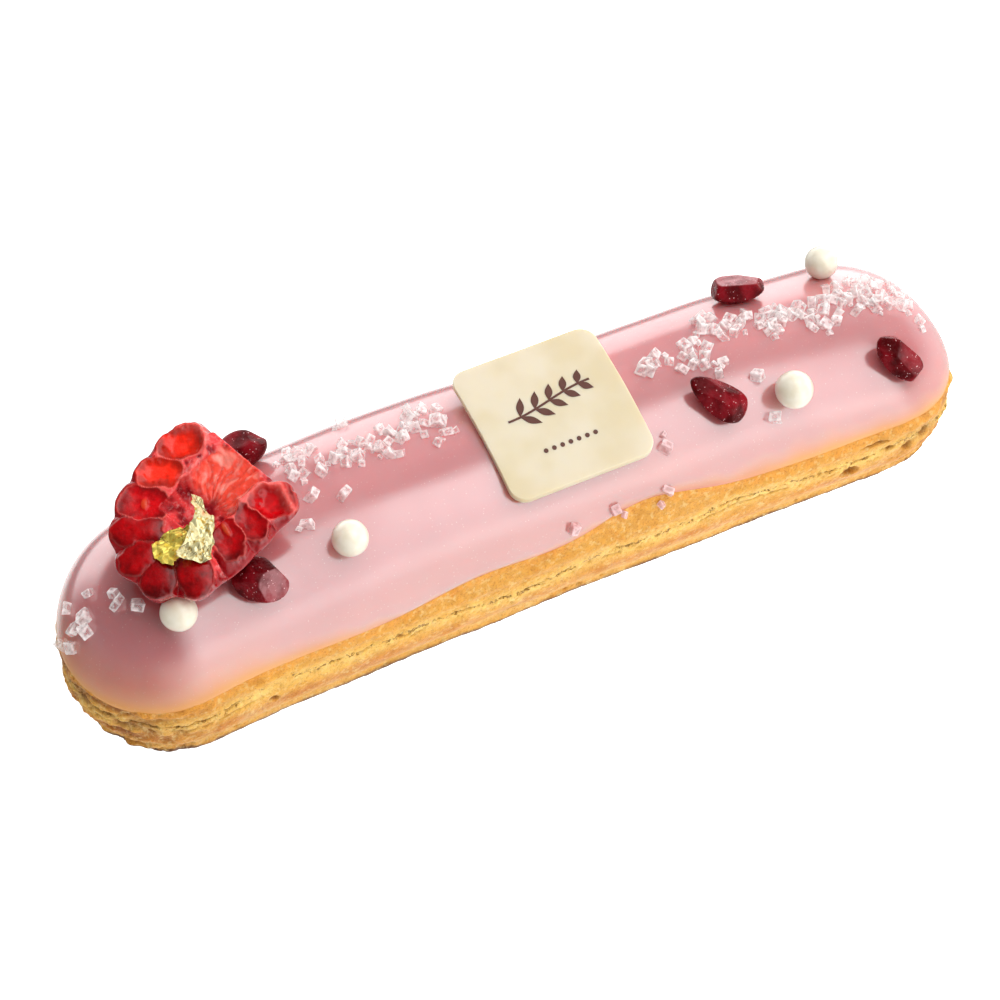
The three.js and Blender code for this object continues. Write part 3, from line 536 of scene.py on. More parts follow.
def add_piece(name, points, faces, material, slot, replaces=(), weld=False, rounded=True, **fields):
    """A mesh from points in millimetres, with a named value or colour at each point for each field."""
    mesh = bpy.data.meshes.new(name)
    counts = np.array([len(face) for face in faces], np.int32)
    corners = np.concatenate([np.asarray(face, np.int32) for face in faces])
    mesh.vertices.add(len(points))
    mesh.vertices.foreach_set("co", (np.asarray(points) * MM).astype(np.float32).ravel())
    mesh.loops.add(len(corners))
    mesh.loops.foreach_set("vertex_index", corners)
    mesh.polygons.add(len(counts))
    mesh.polygons.foreach_set("loop_start", np.concatenate([[0], np.cumsum(counts)[:-1]]).astype(np.int32))
    mesh.polygons.foreach_set("use_smooth", np.full(len(counts), rounded))
    for key, values in fields.items():
        values = np.asarray(values, np.float32)
        if values.ndim == 1:
            mesh.attributes.new(key, "FLOAT", "POINT").data.foreach_set("value", values)
        else:
            filled = np.concatenate([values, np.ones((len(values), 1), np.float32)], 1)
            mesh.attributes.new(key, "FLOAT_COLOR", "POINT").data.foreach_set("color", filled.ravel())
    mesh.update(calc_edges=True)
    mesh.validate()
    if weld:
        body = bmesh.new()
        body.from_mesh(mesh)
        bmesh.ops.remove_doubles(body, verts=body.verts, dist=1e-6)
        body.to_mesh(mesh)
        body.free()
    mesh.materials.append(material)
    piece = bpy.data.objects.new(name, mesh)
    bpy.context.scene.collection.objects.link(piece)
    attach(piece, "root")
    if replaces:
        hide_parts(*replaces)


def add_skin(node, name, layers, material, *fields):
    """A piece made of rows of points round the eclair, each row given with its values for the fields."""
    points, *values = (np.concatenate(part) for part in zip(*layers))
    faces = grid_faces(len(layers), len(layers[0][0]))
    add_piece(name, points, faces, material, node, [node], weld=True, **dict(zip(fields, values)))


def joined(parts):
    """Points and faces of several shapes as one."""
    every_point, every_face, start = [], [], 0
    for points, faces in parts:
        every_point.append(points)
        every_face += [[corner + start for corner in face] for face in faces]
        start += len(points)
    return np.concatenate(every_point), every_face


def ball(rows, columns):
    """Directions over a sphere and the quads between them; the poles are rows of equal points."""
    down = np.pi * np.arange(rows) / (rows - 1)
    turn = 2 * np.pi * np.arange(columns) / columns
    flat = np.sin(down)[:, None]
    points = np.stack([flat * np.cos(turn), flat * np.sin(turn), np.cos(down)[:, None] + 0 * turn], -1)
    return points.reshape(-1, 3), grid_faces(rows, columns)[:, ::-1]


def turned(points, *turns):
    """Points turned about X, Y or Z by degrees, the last turn given first, as matrices multiply."""
    turn = np.eye(3)
    for axis, degrees in turns:
        c, s = math.cos(math.radians(degrees)), math.sin(math.radians(degrees))
        turn = turn @ {
            "X": np.array([[1, 0, 0], [0, c, -s], [0, s, c]]),
            "Y": np.array([[c, 0, s], [0, 1, 0], [-s, 0, c]]),
            "Z": np.array([[c, -s, 0], [s, c, 0], [0, 0, 1]]),
        }[axis]
    return points @ turn.T


def along_aside(x, y, oval):
    """Places measured along and across a turned oval."""
    c, s = math.cos(math.radians(oval["turn"])), math.sin(math.radians(oval["turn"]))
    off_x, off_y = x - oval["x"], y - oval["y"]
    return off_x * c + off_y * s, off_y * c - off_x * s


def on_slope(points, x, y, heading):
    """Points turned to lie on the slope of a place, with +X along a heading."""
    lean = np.array(Vector((0, 0, 1)).rotation_difference(dome_normal(x, y)).to_matrix())
    return turned(points, ("Z", heading)) @ lean.T


def settled(points, x, y, sink):
    """Points lowered over a place until they sink a little into the skin."""
    moved = points + np.array([x, y, 0])
    lift = (dome_at(moved[:, 0], moved[:, 1]) + ICING_PROUD - moved[:, 2]).max()
    return moved + np.array([0, 0, lift - sink])


# Materials

class Nodes:
    """Adds nodes to a tree. Each method gives the new node's output."""

    def __init__(self, tree):
        self.tree = tree

    def feed(self, socket, value):
        if isinstance(value, bpy.types.NodeSocket):
            self.tree.links.new(value, socket)
        elif socket.type == "RGBA":
            socket.default_value = (*value[:3], 1)
        else:
            socket.default_value = value

    def add(self, kind, output, properties=None, **inputs):
        node = self.tree.nodes.new("ShaderNode" + kind)
        for key, value in (properties or {}).items():
            setattr(node, key, value)
        for key, value in inputs.items():
            self.feed(node.inputs[key.replace("_", " ")], value)
        return node.outputs[output]

    def span(self, value, low, high, start=0.0, end=1.0):
        """Maps low to start and high to end, smoothly and clamped."""
        node = self.tree.nodes.new("ShaderNodeMapRange")
        node.interpolation_type = "SMOOTHSTEP"
        for socket, given in zip(node.inputs[:5], (value, low, high, start, end)):
            self.feed(socket, given)
        return node.outputs[0]

    def maths(self, operation, first, second=0.0):
        node = self.tree.nodes.new("ShaderNodeMath")
        node.operation = operation
        self.feed(node.inputs[0], first)
        self.feed(node.inputs[1], second)
        return node.outputs[0]

    def product(self, *values):
        total = values[0]
        for value in values[1:]:
            total = self.maths("MULTIPLY", total, value)
        return total

    def blend(self, first, second, share, blend_type="MIX"):
        node = self.tree.nodes.new("ShaderNodeMix")
        node.data_type = "RGBA"
        node.blend_type = blend_type
        self.feed(node.inputs[0], share)
        self.feed(node.inputs[6], first)
        self.feed(node.inputs[7], second)
        return node.outputs[2]


class Material(Nodes):
    """A material made of nodes round one shader."""

    def __init__(self, name, **settings):
        self.material = bpy.data.materials.new(name)
        self.material.use_nodes = True
        super().__init__(self.material.node_tree)
        self.shader = self.tree.nodes["Principled BSDF"]
        for key, value in settings.items():
            self.set(key.replace("_", " "), value)
        self.place = self.add("TexCoord", "Object")

    def set(self, socket, value):
        self.feed(self.shader.inputs[socket], value)

    def field(self, name):
        return self.add("Attribute", "Fac", {"attribute_name": name})

    def tint(self):
        return self.add("Attribute", "Color", {"attribute_name": "tint"})

    def noise(self, size, detail, roughness=0.5):
        return self.add("TexNoise", "Fac", Vector=self.place, Scale=1 / (size * MM), Detail=detail,
                        Roughness=roughness)

    def patches(self, size, detail, low, high, start=0.0, end=1.0):
        """Noise of a size and detail, with low and high mapped to start and end."""
        return self.span(self.noise(size, detail), low, high, start, end)

    def specks(self, size, full, gone):
        """Small spots a size apart: 1 out to full from their middles, 0 from gone on."""
        away = self.add("TexVoronoi", "Distance", Vector=self.place, Scale=1 / (size * MM))
        return self.span(away, full, gone, 1, 0)

    def bump(self, height, depth, strength):
        self.set("Normal", self.add("Bump", 0, Height=height, Distance=depth * MM, Strength=strength))


def pastry_material():
    made = Material("choux", Specular_IOR_Level=0.4, Subsurface_Weight=0.15,
                    Subsurface_Radius=(1.0, 0.5, 0.2), Subsurface_Scale=0.8 * MM)
    broad, over_crack = made.noise(4.0, 3), made.field("crack")
    toned = made.blend(made.tint(), BAKED_SHADE, made.span(broad, 0.5, 0.75, 0, 0.5), "MULTIPLY")
    toned = made.blend(toned, FLOURED, made.patches(0.8, 3, 0.5, 0.72, 0, 0.5))
    toned = made.blend(toned, CRUMB_SHADE, made.patches(0.3, 3, 0.52, 0.7, 0, 0.65), "MULTIPLY")
    wandering = made.maths("ADD", over_crack, made.patches(0.5, 3, 0.25, 0.75, -0.45, 0.45))
    line = made.span(made.maths("ABSOLUTE", wandering), 0.08, 0.24, 1, 0)
    slit = made.product(line, made.patches(1.3, 2, 0.47, 0.55))
    near = made.span(made.maths("ABSOLUTE", over_crack), 0.3, 1.5, 1, 0)
    dots = made.product(made.specks(0.5, 0.12, 0.3), made.patches(1.1, 1, 0.48, 0.58), near, 0.7)
    # The slit along the crack and the pores beside it are painted dark brown: painted shade in these
    # recesses
    made.set("Base Color", made.blend(toned, SLIT_SHADE_BROWN, made.maths("MAXIMUM", slit, dots)))
    made.set("Roughness", made.span(broad, 0.3, 0.7, 0.38, 0.6))
    made.bump(made.maths("ADD", made.noise(0.35, 4), made.product(slit, -1.5)), 0.16, 0.9)
    return made.material


def icing_material():
    made = Material("icing", IOR=1.5, Roughness=0.25, Subsurface_Radius=(1.0, 0.2, 0.17),
                    Subsurface_Scale=6.5 * MM, Coat_Roughness=0.16, Coat_IOR=2.9)
    made.set("Coat Weight", made.field("gloss"))
    made.set("Subsurface Weight", made.field("gloss"))
    # Pale specks: partly bubbles in the icing, partly painted glints
    specks = made.product(made.specks(0.6, 0.08, 0.22), made.patches(0.8, 0, 0.44, 0.6), 0.16)
    cloudy = made.blend(made.tint(), ICING_CLOUD, made.patches(9, 1, 0.35, 0.8, 0, 0.7), "MULTIPLY")
    made.set("Base Color", made.blend(cloudy, ICING_SPECK_AND_GLINT, specks))
    return made.material


def sugar_material():
    made = Material("sugar", IOR=1.5, Roughness=0.12, Coat_Weight=1.0, Coat_Roughness=0.04, Coat_IOR=1.8,
                    Subsurface_Weight=0.3, Subsurface_Radius=(1, 1, 1), Subsurface_Scale=0.6 * MM)
    clear = made.blend(CLEAR_SUGAR, CLOUDED_SUGAR, made.noise(0.9, 2))
    glazed = made.field("glazed")
    made.set("Base Color", made.blend(clear, PINK_SUGAR, glazed))
    cloud = made.patches(0.9, 2, 0.38, 0.62, 0.0, 0.34)
    # The crystals are painted more opaque and white towards their corners and chamfers: painted edge
    # highlights
    rim = made.span(made.field("edge"), 0.3, 1.0, 0.12, 0.36)
    cover = made.maths("ADD", made.maths("ADD", rim, cloud), made.product(glazed, 0.25))
    made.set("Alpha", made.maths("MINIMUM", cover, 1.0))
    return made.material


def pearl_material():
    made = Material("sugar_pearl", Roughness=0.3, IOR=1.5, Subsurface_Weight=0.25,
                    Subsurface_Radius=(1, 0.9, 0.7), Subsurface_Scale=0.6 * MM,
                    Coat_Weight=1.0, Coat_Roughness=0.1, Coat_IOR=1.6)
    made.set("Base Color", made.blend(PEARL_CREAM, PEARL_WHITE, made.patches(1.6, 3, 0.3, 0.7)))
    made.bump(made.noise(0.5, 2), 0.03, 0.5)
    return made.material


def aril_material():
    made = Material("pomegranate", IOR=1.45, Specular_IOR_Level=0.15, Subsurface_Weight=0.15,
                    Subsurface_Radius=(1.0, 0.12, 0.12), Subsurface_Scale=1.0 * MM)
    specks = made.product(made.specks(0.45, 0.1, 0.24), made.patches(0.9, 1, 0.5, 0.6), 0.9)
    deep = made.blend(ARIL_DARK, ARIL_RED, made.patches(3.6, 2, 0.34, 0.66))
    # The first flat is painted pale grey-pink: a painted sheen on that facet
    frost = made.product(made.field("frost"), made.patches(2.0, 3, 0.36, 0.6, 0.45, 1))
    made.set("Base Color", made.blend(made.blend(deep, ARIL_FACET_SHEEN, frost), ARIL_SPECK, specks))
    made.set("Roughness", made.patches(0.6, 3, 0.35, 0.7, 0.15, 0.4))
    made.bump(made.noise(0.5, 3), 0.08, 0.5)
    return made.material


def plaque_material():
    made = Material("white_chocolate", IOR=1.46, Subsurface_Weight=0.6, Subsurface_Radius=(1, 0.8, 0.5),
                    Subsurface_Scale=1.6 * MM)
    made.set("Base Color", made.blend(PLAQUE_CREAM, PLAQUE_PALE, made.patches(9, 2, 0.35, 0.65)))
    made.set("Roughness", made.patches(3, 2, 0.3, 0.7, 0.36, 0.5))
    made.bump(made.noise(1.2, 3), 0.03, 0.4)
    return made.material


def print_material():
    made = Material("cocoa_print", Roughness=0.5)
    made.set("Base Color", made.blend(COCOA_DARK, COCOA_LIGHT, made.noise(0.8, 2)))
    return made.material


def berry_material():
    made = Material("raspberry", IOR=1.4, Specular_IOR_Level=0.08, Subsurface_Weight=0.35,
                    Subsurface_Radius=(1.0, 0.1, 0.08), Subsurface_Scale=1.5 * MM,
                    Coat_Weight=1.0, Coat_Roughness=0.04, Coat_IOR=1.5)
    veins = made.product(made.span(made.noise(0.7, 4, 0.6), 0.5, 0.72, 0, 0.4), made.field("flesh"))
    made.set("Base Color", made.blend(made.tint(), VEIN_PINK, veins))
    made.set("Roughness", made.patches(0.8, 2, 0.3, 0.7, 0.14, 0.3))
    made.bump(made.noise(1.0, 3), 0.3, 0.6)
    return made.material


def gold_material():
    made = Material("gold_leaf", Metallic=0.62, Specular_IOR_Level=1.0)
    # The strip with a high pale share is painted paler: painted light on the strip turned to the light
    leaf = made.blend(YELLOW_LEAF, PALE_LEAF_PAINTED_LIGHT, made.field("pale"))
    leaf = made.blend(leaf, BRONZE_LEAF, made.patches(0.6, 3, 0.55, 0.66, 0, 0.9))
    made.set("Base Color", made.blend(leaf, CREASE_SHADE_BROWN, made.field("crease")))
    made.set("Roughness", made.patches(0.6, 3, 0.3, 0.7, 0.14, 0.3))
    made.bump(made.noise(0.5, 3), 0.04, 0.6)
    return made.material


# Pastry

def front_pits(spokes, flat):
    """How deep the single pits of the front are, and where they lie, at places along and up the side."""
    along = spokes.rim_x + 0.3 * noise(flat, 0.8, 22)
    up = flat[:, 1] + 0.25 * noise(flat, 0.8, 23)
    sunk, hollow = np.zeros((2, spokes.count))
    for pit in PASTRY_PITS:
        away = np.hypot((along - pit["x"]) / pit["long"], (up - pit["z"]) / pit["high"])
        inside = (1 - smooth(away, 0.5, 1.1)) * (spokes.out_y < 0)
        sunk = np.maximum(sunk, pit["deep"] * inside)
        hollow = np.maximum(hollow, inside)
    return sunk, hollow


def pastry_relief(spokes, level, edge):
    """How far the baked side stands out, its colour, and its height over the crack, column by column."""
    path, rim_x = spokes.path, spokes.rim_x
    flat = np.stack([path, level], -1)
    line = flat * [1, 0]
    streaky = np.stack([path / 3, level], -1)
    ends = smooth(np.abs(rim_x), CRAG_START, HALF_LENGTH)
    crack_level = CRACK_LEVEL + CRACK_WANDER * (np.sin(rim_x / 11 + spokes.out_y) + np.sin(rim_x / 4.3))
    crack_level = crack_level + 0.25 * noise(line, 1.4, 3)
    dashes = smooth(noise(line, 2.2, 5) + 0.6 * noise(line, 0.7, 6), 0.0, 0.5)
    second_dashes = smooth(noise(line, 3.3, 8) + 0.5 * noise(line, 0.6, 7), 0.25, 0.6)
    pale = bell(level, crack_level - 0.4, 1.5)
    groove_level = LOW_GROOVE_LEVEL + 0.4 * noise(line, 8, 9)
    groove = bell(level, groove_level, 0.75) * (0.65 + 0.35 * noise(line, 5, 10))
    low_holes = pits(path / 1.8, level, 1.2, 0.25, (0.18, 0.42), 31)
    strata = ends * noise(np.stack([path / 1.6, level / 0.75], -1), 1.5, 12)
    sunk, hollow = front_pits(spokes, flat)
    grain = noise(flat, 0.55, 15)
    features = dict(
        foot=bell(level, FOOT_LEVEL, 0.8),
        groove=groove,
        belly=bell(level, BELLY_LEVEL, 2.6),
        shoulder=bell(level, SHOULDER_LEVEL, 1.0),
        crack=dashes * bell(level, crack_level, 0.15),
        second=second_dashes * bell(level, crack_level - SECOND_CRACK_DROP, 0.13),
        holes=pits(path, level, 0.9, 0.35, (0.14, 0.34), 21) * np.maximum(pale, ends * 0.8),
        low_holes=low_holes * bell(level, groove_level - 0.3, 1.0),
        pits=sunk,
        strata=strata,
        waves=noise(streaky, 4, 13),
        bumps=noise(flat, 1.6, 14),
        grain=(0.045 + 0.10 * ends) * grain,
    )
    out = sum(amount * features[name] for name, amount in PASTRY_RELIEF.items())
    recess_shade = sum(amount * features[name] for name, amount in PASTRY_RECESS_SHADE.items())
    mottle = noise(streaky, 2.2, 16)
    glazed = smooth(edge - level + 0.5 * noise(flat, 1.5, 18), 2.0, 0.2)
    colour = painted(
        GOLD,
        (BELLY_ORANGE, np.clip(bell(level, BELLY_LEVEL, 2.0) * (0.75 + 0.5 * mottle), 0, 1)),
        (PALE_CRUMB, np.clip(pale * (0.75 + 0.35 * noise(flat, 1.2, 17)), 0, 1)),
        (SHOULDER_OCHRE, smooth(level, crack_level + 1.2, crack_level + 2.4) * 0.9),
        (GLAZED_GOLD, 0.75 * glazed),
        (GROOVE_CREAM, np.clip(groove * (0.6 + 0.5 * mottle), 0, 1) * 0.8),
        # Browner towards the ends, most where the strata sink: baked colour, with painted shade in the
        # grooves between the layers
        (END_BROWN_AND_GROOVE_SHADE, np.clip(ends * (0.4 - 0.8 * strata), 0, 0.85)),
        # The crack and holes are painted crack brown: painted shade in these recesses
        (CRACK_SHADE_BROWN, np.clip(recess_shade, 0, 1) * 0.5),
        # The front pits are painted dark ochre: painted shade in the pits
        (PIT_SHADE_OCHRE, hollow * 0.9),
    )
    grainy = colour * (1 + 0.10 * grain)[..., None]
    foot = smooth(level + 0.25 * mottle, 1.6, 0.8)
    return out, painted(grainy, (FOOT_BROWN, foot)), level - crack_level


def add_pastry():
    """The crust from the middle of its base up the side, and on under the icing to the top."""
    spokes = Spokes()
    edge = spokes.icing_level()
    layers = [(spokes.points(spokes.same(0.0), 0.0), spokes.same(FOOT_BROWN), spokes.same(-CRACK_LEVEL))]
    for share in np.linspace(0, 1, PASTRY_ROWS):
        level = share * (edge + PASTRY_TUCK)
        out, colour, crack = pastry_relief(spokes, level, edge)
        rise = np.clip((level - WIDEST_LEVEL) / (top_at(spokes.rim_x) - WIDEST_LEVEL), 0, 1)
        across = side_across(level) * (1 - rise ** DOME_POWER) ** (1 / DOME_POWER)
        pinch = PASTRY_PINCH * smooth(level, edge - 0.5, edge + PASTRY_TUCK)
        layers.append((spokes.points(across + out - pinch, level), colour, crack))
    angle = spokes.icing_angle()
    for share in np.linspace(UNDER_START, 1, UNDER_ROWS):
        under = spokes.dome_points(lerp(angle, np.pi / 2, share), UNDER_DEPTH)
        layers.append((under, spokes.same(GOLD), spokes.same(HEIGHT)))
    add_skin("choux", "choux_crust", layers, pastry_material(), "tint", "crack")


# Icing

def add_icing():
    """The glaze from under its lower edge to the top: matt and golden at the edge, glossy pink above."""
    spokes = Spokes()
    angle = spokes.icing_angle()
    girth = HALF_WIDTH * (np.pi / 2 - angle)
    reaches = [near + 0 * girth for near in ICING_LIP_ROWS]
    reaches += [lerp(ICING_LIP_ROWS[-1], girth, share) for share in np.linspace(0, 1, ICING_ROWS)[1:]]
    line = np.stack([spokes.path, 0 * spokes.path], -1)
    ends = smooth(np.abs(spokes.rim_x), 22, 44)
    left = smooth(-spokes.rim_x, 35, 60)
    # How far up the golden edge fades out: further towards the ends, most at the left
    fade = 1.2 + 2.3 * ends + 0.6 * left
    fade = np.clip(fade + 0.7 * noise(line, 17, 41) + 0.5 * noise(line, 3, 42), 0.5, 5.0)
    layers = [(spokes.dome_points(angle, ICING_INNER_DEPTH), spokes.same(EDGE_GOLD), spokes.same(0.0))]
    for reach in reaches:
        swing = np.minimum(angle + reach / HALF_WIDTH, np.pi / 2)
        rounding = np.sqrt(1 - (1 - np.minimum(reach / ICING_LIP, 1)) ** 2)
        points = spokes.dome_points(swing, 0)
        uneven = 0.22 * noise(points, 21, 43) + 0.09 * noise(points, 8, 44)
        proud = (ICING_PROUD + ICING_SUNK) * rounding - ICING_SUNK
        proud = proud + uneven * smooth(reach, 0, 4) * (1 - smooth(np.sin(swing), 0.995, 1.0))
        # Paler towards the back over the crest: painted light
        crown_light = CROWN_PAINTED_LIGHT * smooth(points[:, 1], -6, 1)
        warmth = np.maximum(left, 0.4) * (1 - smooth(reach, 3, 12))
        body = painted(PINK * (1 + crown_light[:, None]), (WARM_PINK, warmth))
        colour = painted(EDGE_PINK, (EDGE_GOLD, ends), (PEACH, smooth(reach, 0, 0.8 * fade)),
                         (body, smooth(reach, 0.15 * fade, 1.5 * fade)))
        gloss = smooth(reach, 0.1 * fade, 1.3 * fade)
        layers.append((spokes.dome_points(swing, -proud), colour, gloss))
    add_skin("icing", "icing_glaze", layers, icing_material(), "tint", "gloss")


# Coarse sugar

def clear_of_toppings(x, y):
    half_plaque = PLAQUE_SIDE / 2 + SUGAR_MARGIN
    if abs(x - PLAQUE_PLACE[0]) <= half_plaque and abs(y - PLAQUE_PLACE[1]) <= half_plaque:
        return False
    round_ones = [(*BERRY_PLACE, BERRY_LENGTH / 2)]
    round_ones += [(pearl["x"], pearl["y"], pearl["radius"]) for pearl in PEARLS]
    round_ones += [(aril["x"], aril["y"], aril["long"] / 2) for aril in ARILS]
    return all(math.hypot(x - px, y - py) > reach + SUGAR_MARGIN for px, py, reach in round_ones)


def sugar_places(random):
    """Places of the crystals: the lone ones, then patch by patch, spread over ellipses and kept apart."""
    taken = list(SUGAR_SPOTS)
    for patch in SUGAR_PATCHES:
        placed = 0
        for _ in range(SUGAR_TRIES):
            if placed == patch["count"]:
                break
            reach = math.sqrt(next(random))
            bearing = 2 * math.pi * next(random)
            x = patch["x"] + patch["half_x"] * reach * math.cos(bearing)
            y = patch["y"] + patch["half_y"] * reach * math.sin(bearing)
            on_icing = across_at(x, y) < SUGAR_EDGE * HALF_WIDTH
            free = all(math.hypot(x - px, y - py) > SUGAR_SPACING for px, py in taken)
            if on_icing and free and clear_of_toppings(x, y):
                taken.append((x, y))
                placed += 1
    return taken


def crystal_shape(edges, random):
    """A box with worn corners: six fanned faces, twelve chamfers and eight corner facets."""
    chamfer = lerp(*SUGAR_WORN, next(random)) * min(edges)
    half = np.array(edges) / 2
    points, index = [], {}
    for sign in itertools.product((-1, 1), repeat=3):
        skew = SUGAR_FULL + SUGAR_SKEW * np.array([2 * next(random) - 1 for _ in range(3)])
        for axis in range(3):
            inset = np.full(3, chamfer)
            inset[axis] = 0
            index[sign, axis] = len(points)
            points.append(np.array(sign) * (half * skew - inset))
    faces = [[index[sign, axis] for axis in range(3)] for sign in itertools.product((-1, 1), repeat=3)]
    for axis in range(3):
        first, second = [other for other in range(3) if other != axis]

        def corner(side, a, b):
            sign = [0, 0, 0]
            sign[axis], sign[first], sign[second] = side, a, b
            return tuple(sign)

        for side in (-1, 1):
            rim = [index[corner(side, a, b), axis] for a, b in ((-1, -1), (1, -1), (1, 1), (-1, 1))]
            middle = len(points)
            points.append(np.mean([points[place] for place in rim], axis=0))
            faces += [[rim[step], rim[(step + 1) % 4], middle] for step in range(4)]
        for a, b in itertools.product((-1, 1), repeat=2):
            low, high = corner(-1, a, b), corner(1, a, b)
            faces.append([index[low, first], index[high, first], index[high, second], index[low, second]])
    points = np.array(points)
    outward = []
    for face in faces:
        a, b, c = points[face[:3]]
        outward.append(face if np.dot(np.cross(b - a, c - a), a + b + c) > 0 else face[::-1])
    return points, outward


def laid_crystal(x, y, edges, tilts, heading, worn):
    points, faces = crystal_shape(edges, worn)
    points = on_slope(turned(points, ("Y", tilts[1]), ("X", tilts[0])), x, y, heading)
    rise = edges[2] * (0.5 - SUGAR_SINK) + ICING_PROUD / 2
    return points + np.array([x, y, float(dome_at(x, y))]) + rise * np.array(dome_normal(x, y)), faces


def add_sugar():
    random, worn = draws(SUGAR_SEED), draws(WEAR_SEED)
    places = sugar_places(random)
    crystals = []
    for x, y in places:
        edges = [lerp(*SUGAR_SIZE, next(random)) for _ in range(3)]
        tilts = [math.degrees(SUGAR_TILT * (2 * next(random) - 1)) for _ in range(2)]
        crystals.append(laid_crystal(x, y, edges, tilts, 180 * next(random), worn))
    for x, y in places:
        if next(worn) < CRUMB_SHARE:
            bearing = 2 * math.pi * next(worn)
            edges = [lerp(*CRUMB_SIZE, next(worn)) for _ in range(3)]
            crumb_x, crumb_y = x + CRUMB_AWAY * math.cos(bearing), y + CRUMB_AWAY * math.sin(bearing)
            if across_at(crumb_x, crumb_y) < SUGAR_EDGE * HALF_WIDTH:
                crystals.append(laid_crystal(crumb_x, crumb_y, edges, CRUMB_TILTS, 180 * next(worn), worn))
    points, faces = joined(crystals)
    # 1 at the corner points, 0 at the face middles: where the painted edge highlights fall
    edge = np.tile(np.repeat([1.0, 0.0], [CRYSTAL_CORNERS, CRYSTAL_FACES]), len(crystals))
    low_x, high_x, high_y = GLAZED_SUGAR
    glazed = (points[:, 0] > low_x) & (points[:, 0] < high_x) & (points[:, 1] < high_y)
    add_piece("sugar_crystals", points, faces, sugar_material(), "sugar", rounded=False, edge=edge,
              glazed=glazed)


# Pearls and arils

def add_pearls():
    material = pearl_material()
    shape, faces = ball(*PEARL_GRID)
    for index, pearl in enumerate(PEARLS):
        uneven = 1 + 0.012 * noise(shape, 0.7, 50 + index)
        points = settled(pearl["radius"] * shape * uneven[:, None], pearl["x"], pearl["y"], TOPPING_SINK)
        name = f"pearl_{index + 1}"
        add_piece(name + "_ball", points, faces, material, "sugar_pearl", [name], weld=True)


def add_arils():
    """Balls pressed flat on several sides and narrowed to one end; the first flat carries a painted sheen.
    """
    material = aril_material()
    shape, faces = ball(*ARIL_GRID)
    for index, aril in enumerate(ARILS):
        pulls = []
        for bearing, climb, reach in aril["flats"]:
            turn, lift = math.radians(bearing), math.radians(climb)
            flat = math.cos(lift)
            normal = np.array([flat * math.cos(turn), flat * math.sin(turn), math.sin(lift)])
            pulls.append(np.maximum(shape @ normal / reach, 0) ** FLAT_SHARPNESS)
        fullness = 1 + np.sum(pulls, axis=0)
        frost = np.minimum(aril["frost"] * smooth(pulls[0] / fullness, 0.0, 1.0), 1)
        points = shape * (fullness ** (-1 / FLAT_SHARPNESS))[:, None]
        slim = 1 - aril["taper"] * (1 + points[:, 0]) / 2
        size = np.stack([0 * slim + aril["long"], aril["wide"] * slim, aril["thick"] * slim], -1)
        points = points * size / 2
        uneven = 1 + 0.02 * noise(shape, 0.5, 60 + index) + 0.006 * noise(shape, 0.15, 70 + index)
        points = on_slope(points * uneven[:, None], aril["x"], aril["y"], aril["heading"])
        points = settled(points, aril["x"], aril["y"], TOPPING_SINK)
        name = f"pomegranate_{index + 1}"
        add_piece(name + "_aril", points, faces, material, "pomegranate", [name], weld=True, frost=frost)


# Plaque

def plaque_outline(steps):
    """Points round the plaque's rounded square."""
    half = PLAQUE_SIDE / 2 - PLAQUE_CORNER
    points = []
    for side in range(4):
        start = side * math.pi / 2
        middle = start + math.pi / 4
        corner = np.array([math.cos(middle), math.sin(middle)]) * math.sqrt(2) * half
        for angle in np.linspace(start, start + math.pi / 2, steps):
            points.append(corner + PLAQUE_CORNER * np.array([math.cos(angle), math.sin(angle)]))
        run = -np.array([math.cos(start), math.sin(start)])
        points += [points[-1] + 2 * half * share * run for share in np.linspace(0, 1, steps + 1)[1:-1]]
    return np.array(points)


def plaque_wave(flat):
    """The slight unevenness of the plaque's faces."""
    return PLAQUE_WAVE * noise(flat, 6, 71)


def plaque_shape(flat, level):
    """Points of the plaque at levels above its underside, bent along Y and turned to its tilt."""
    sag = flat[:, 1] ** 2 / (2 * PLAQUE_BEND_RADIUS)
    return turned(np.column_stack([flat, level - sag]), ("X", PLAQUE_TILT))


def add_plaque():
    outline = plaque_outline(16)
    inward = -outline / np.linalg.norm(outline, axis=1)[:, None]
    arc = np.linspace(0, math.pi / 2, 7)
    edge = PLAQUE_EDGE_ROUND
    rings = [(outline * share, 0.0) for share in np.linspace(0, 0.9, 8)]
    rings += [(outline + inward * edge * (1 - math.sin(a)), edge * (1 - math.cos(a))) for a in arc]
    rings += [(outline + inward * edge * (1 - math.cos(a)), PLAQUE_THICKNESS - edge * (1 - math.sin(a)))
              for a in arc]
    rings += [(outline * share, PLAQUE_THICKNESS) for share in np.linspace(0.93, 0, 26)]
    slab = np.concatenate([plaque_shape(flat, level + plaque_wave(flat)) for flat, level in rings])
    points = settled(slab, *PLAQUE_PLACE, PLAQUE_SINK)
    faces = grid_faces(len(rings), len(outline))
    add_piece("plaque_slab", points, faces, plaque_material(), "white_chocolate", ["plaque"], weld=True)
    return points[0] - slab[0]


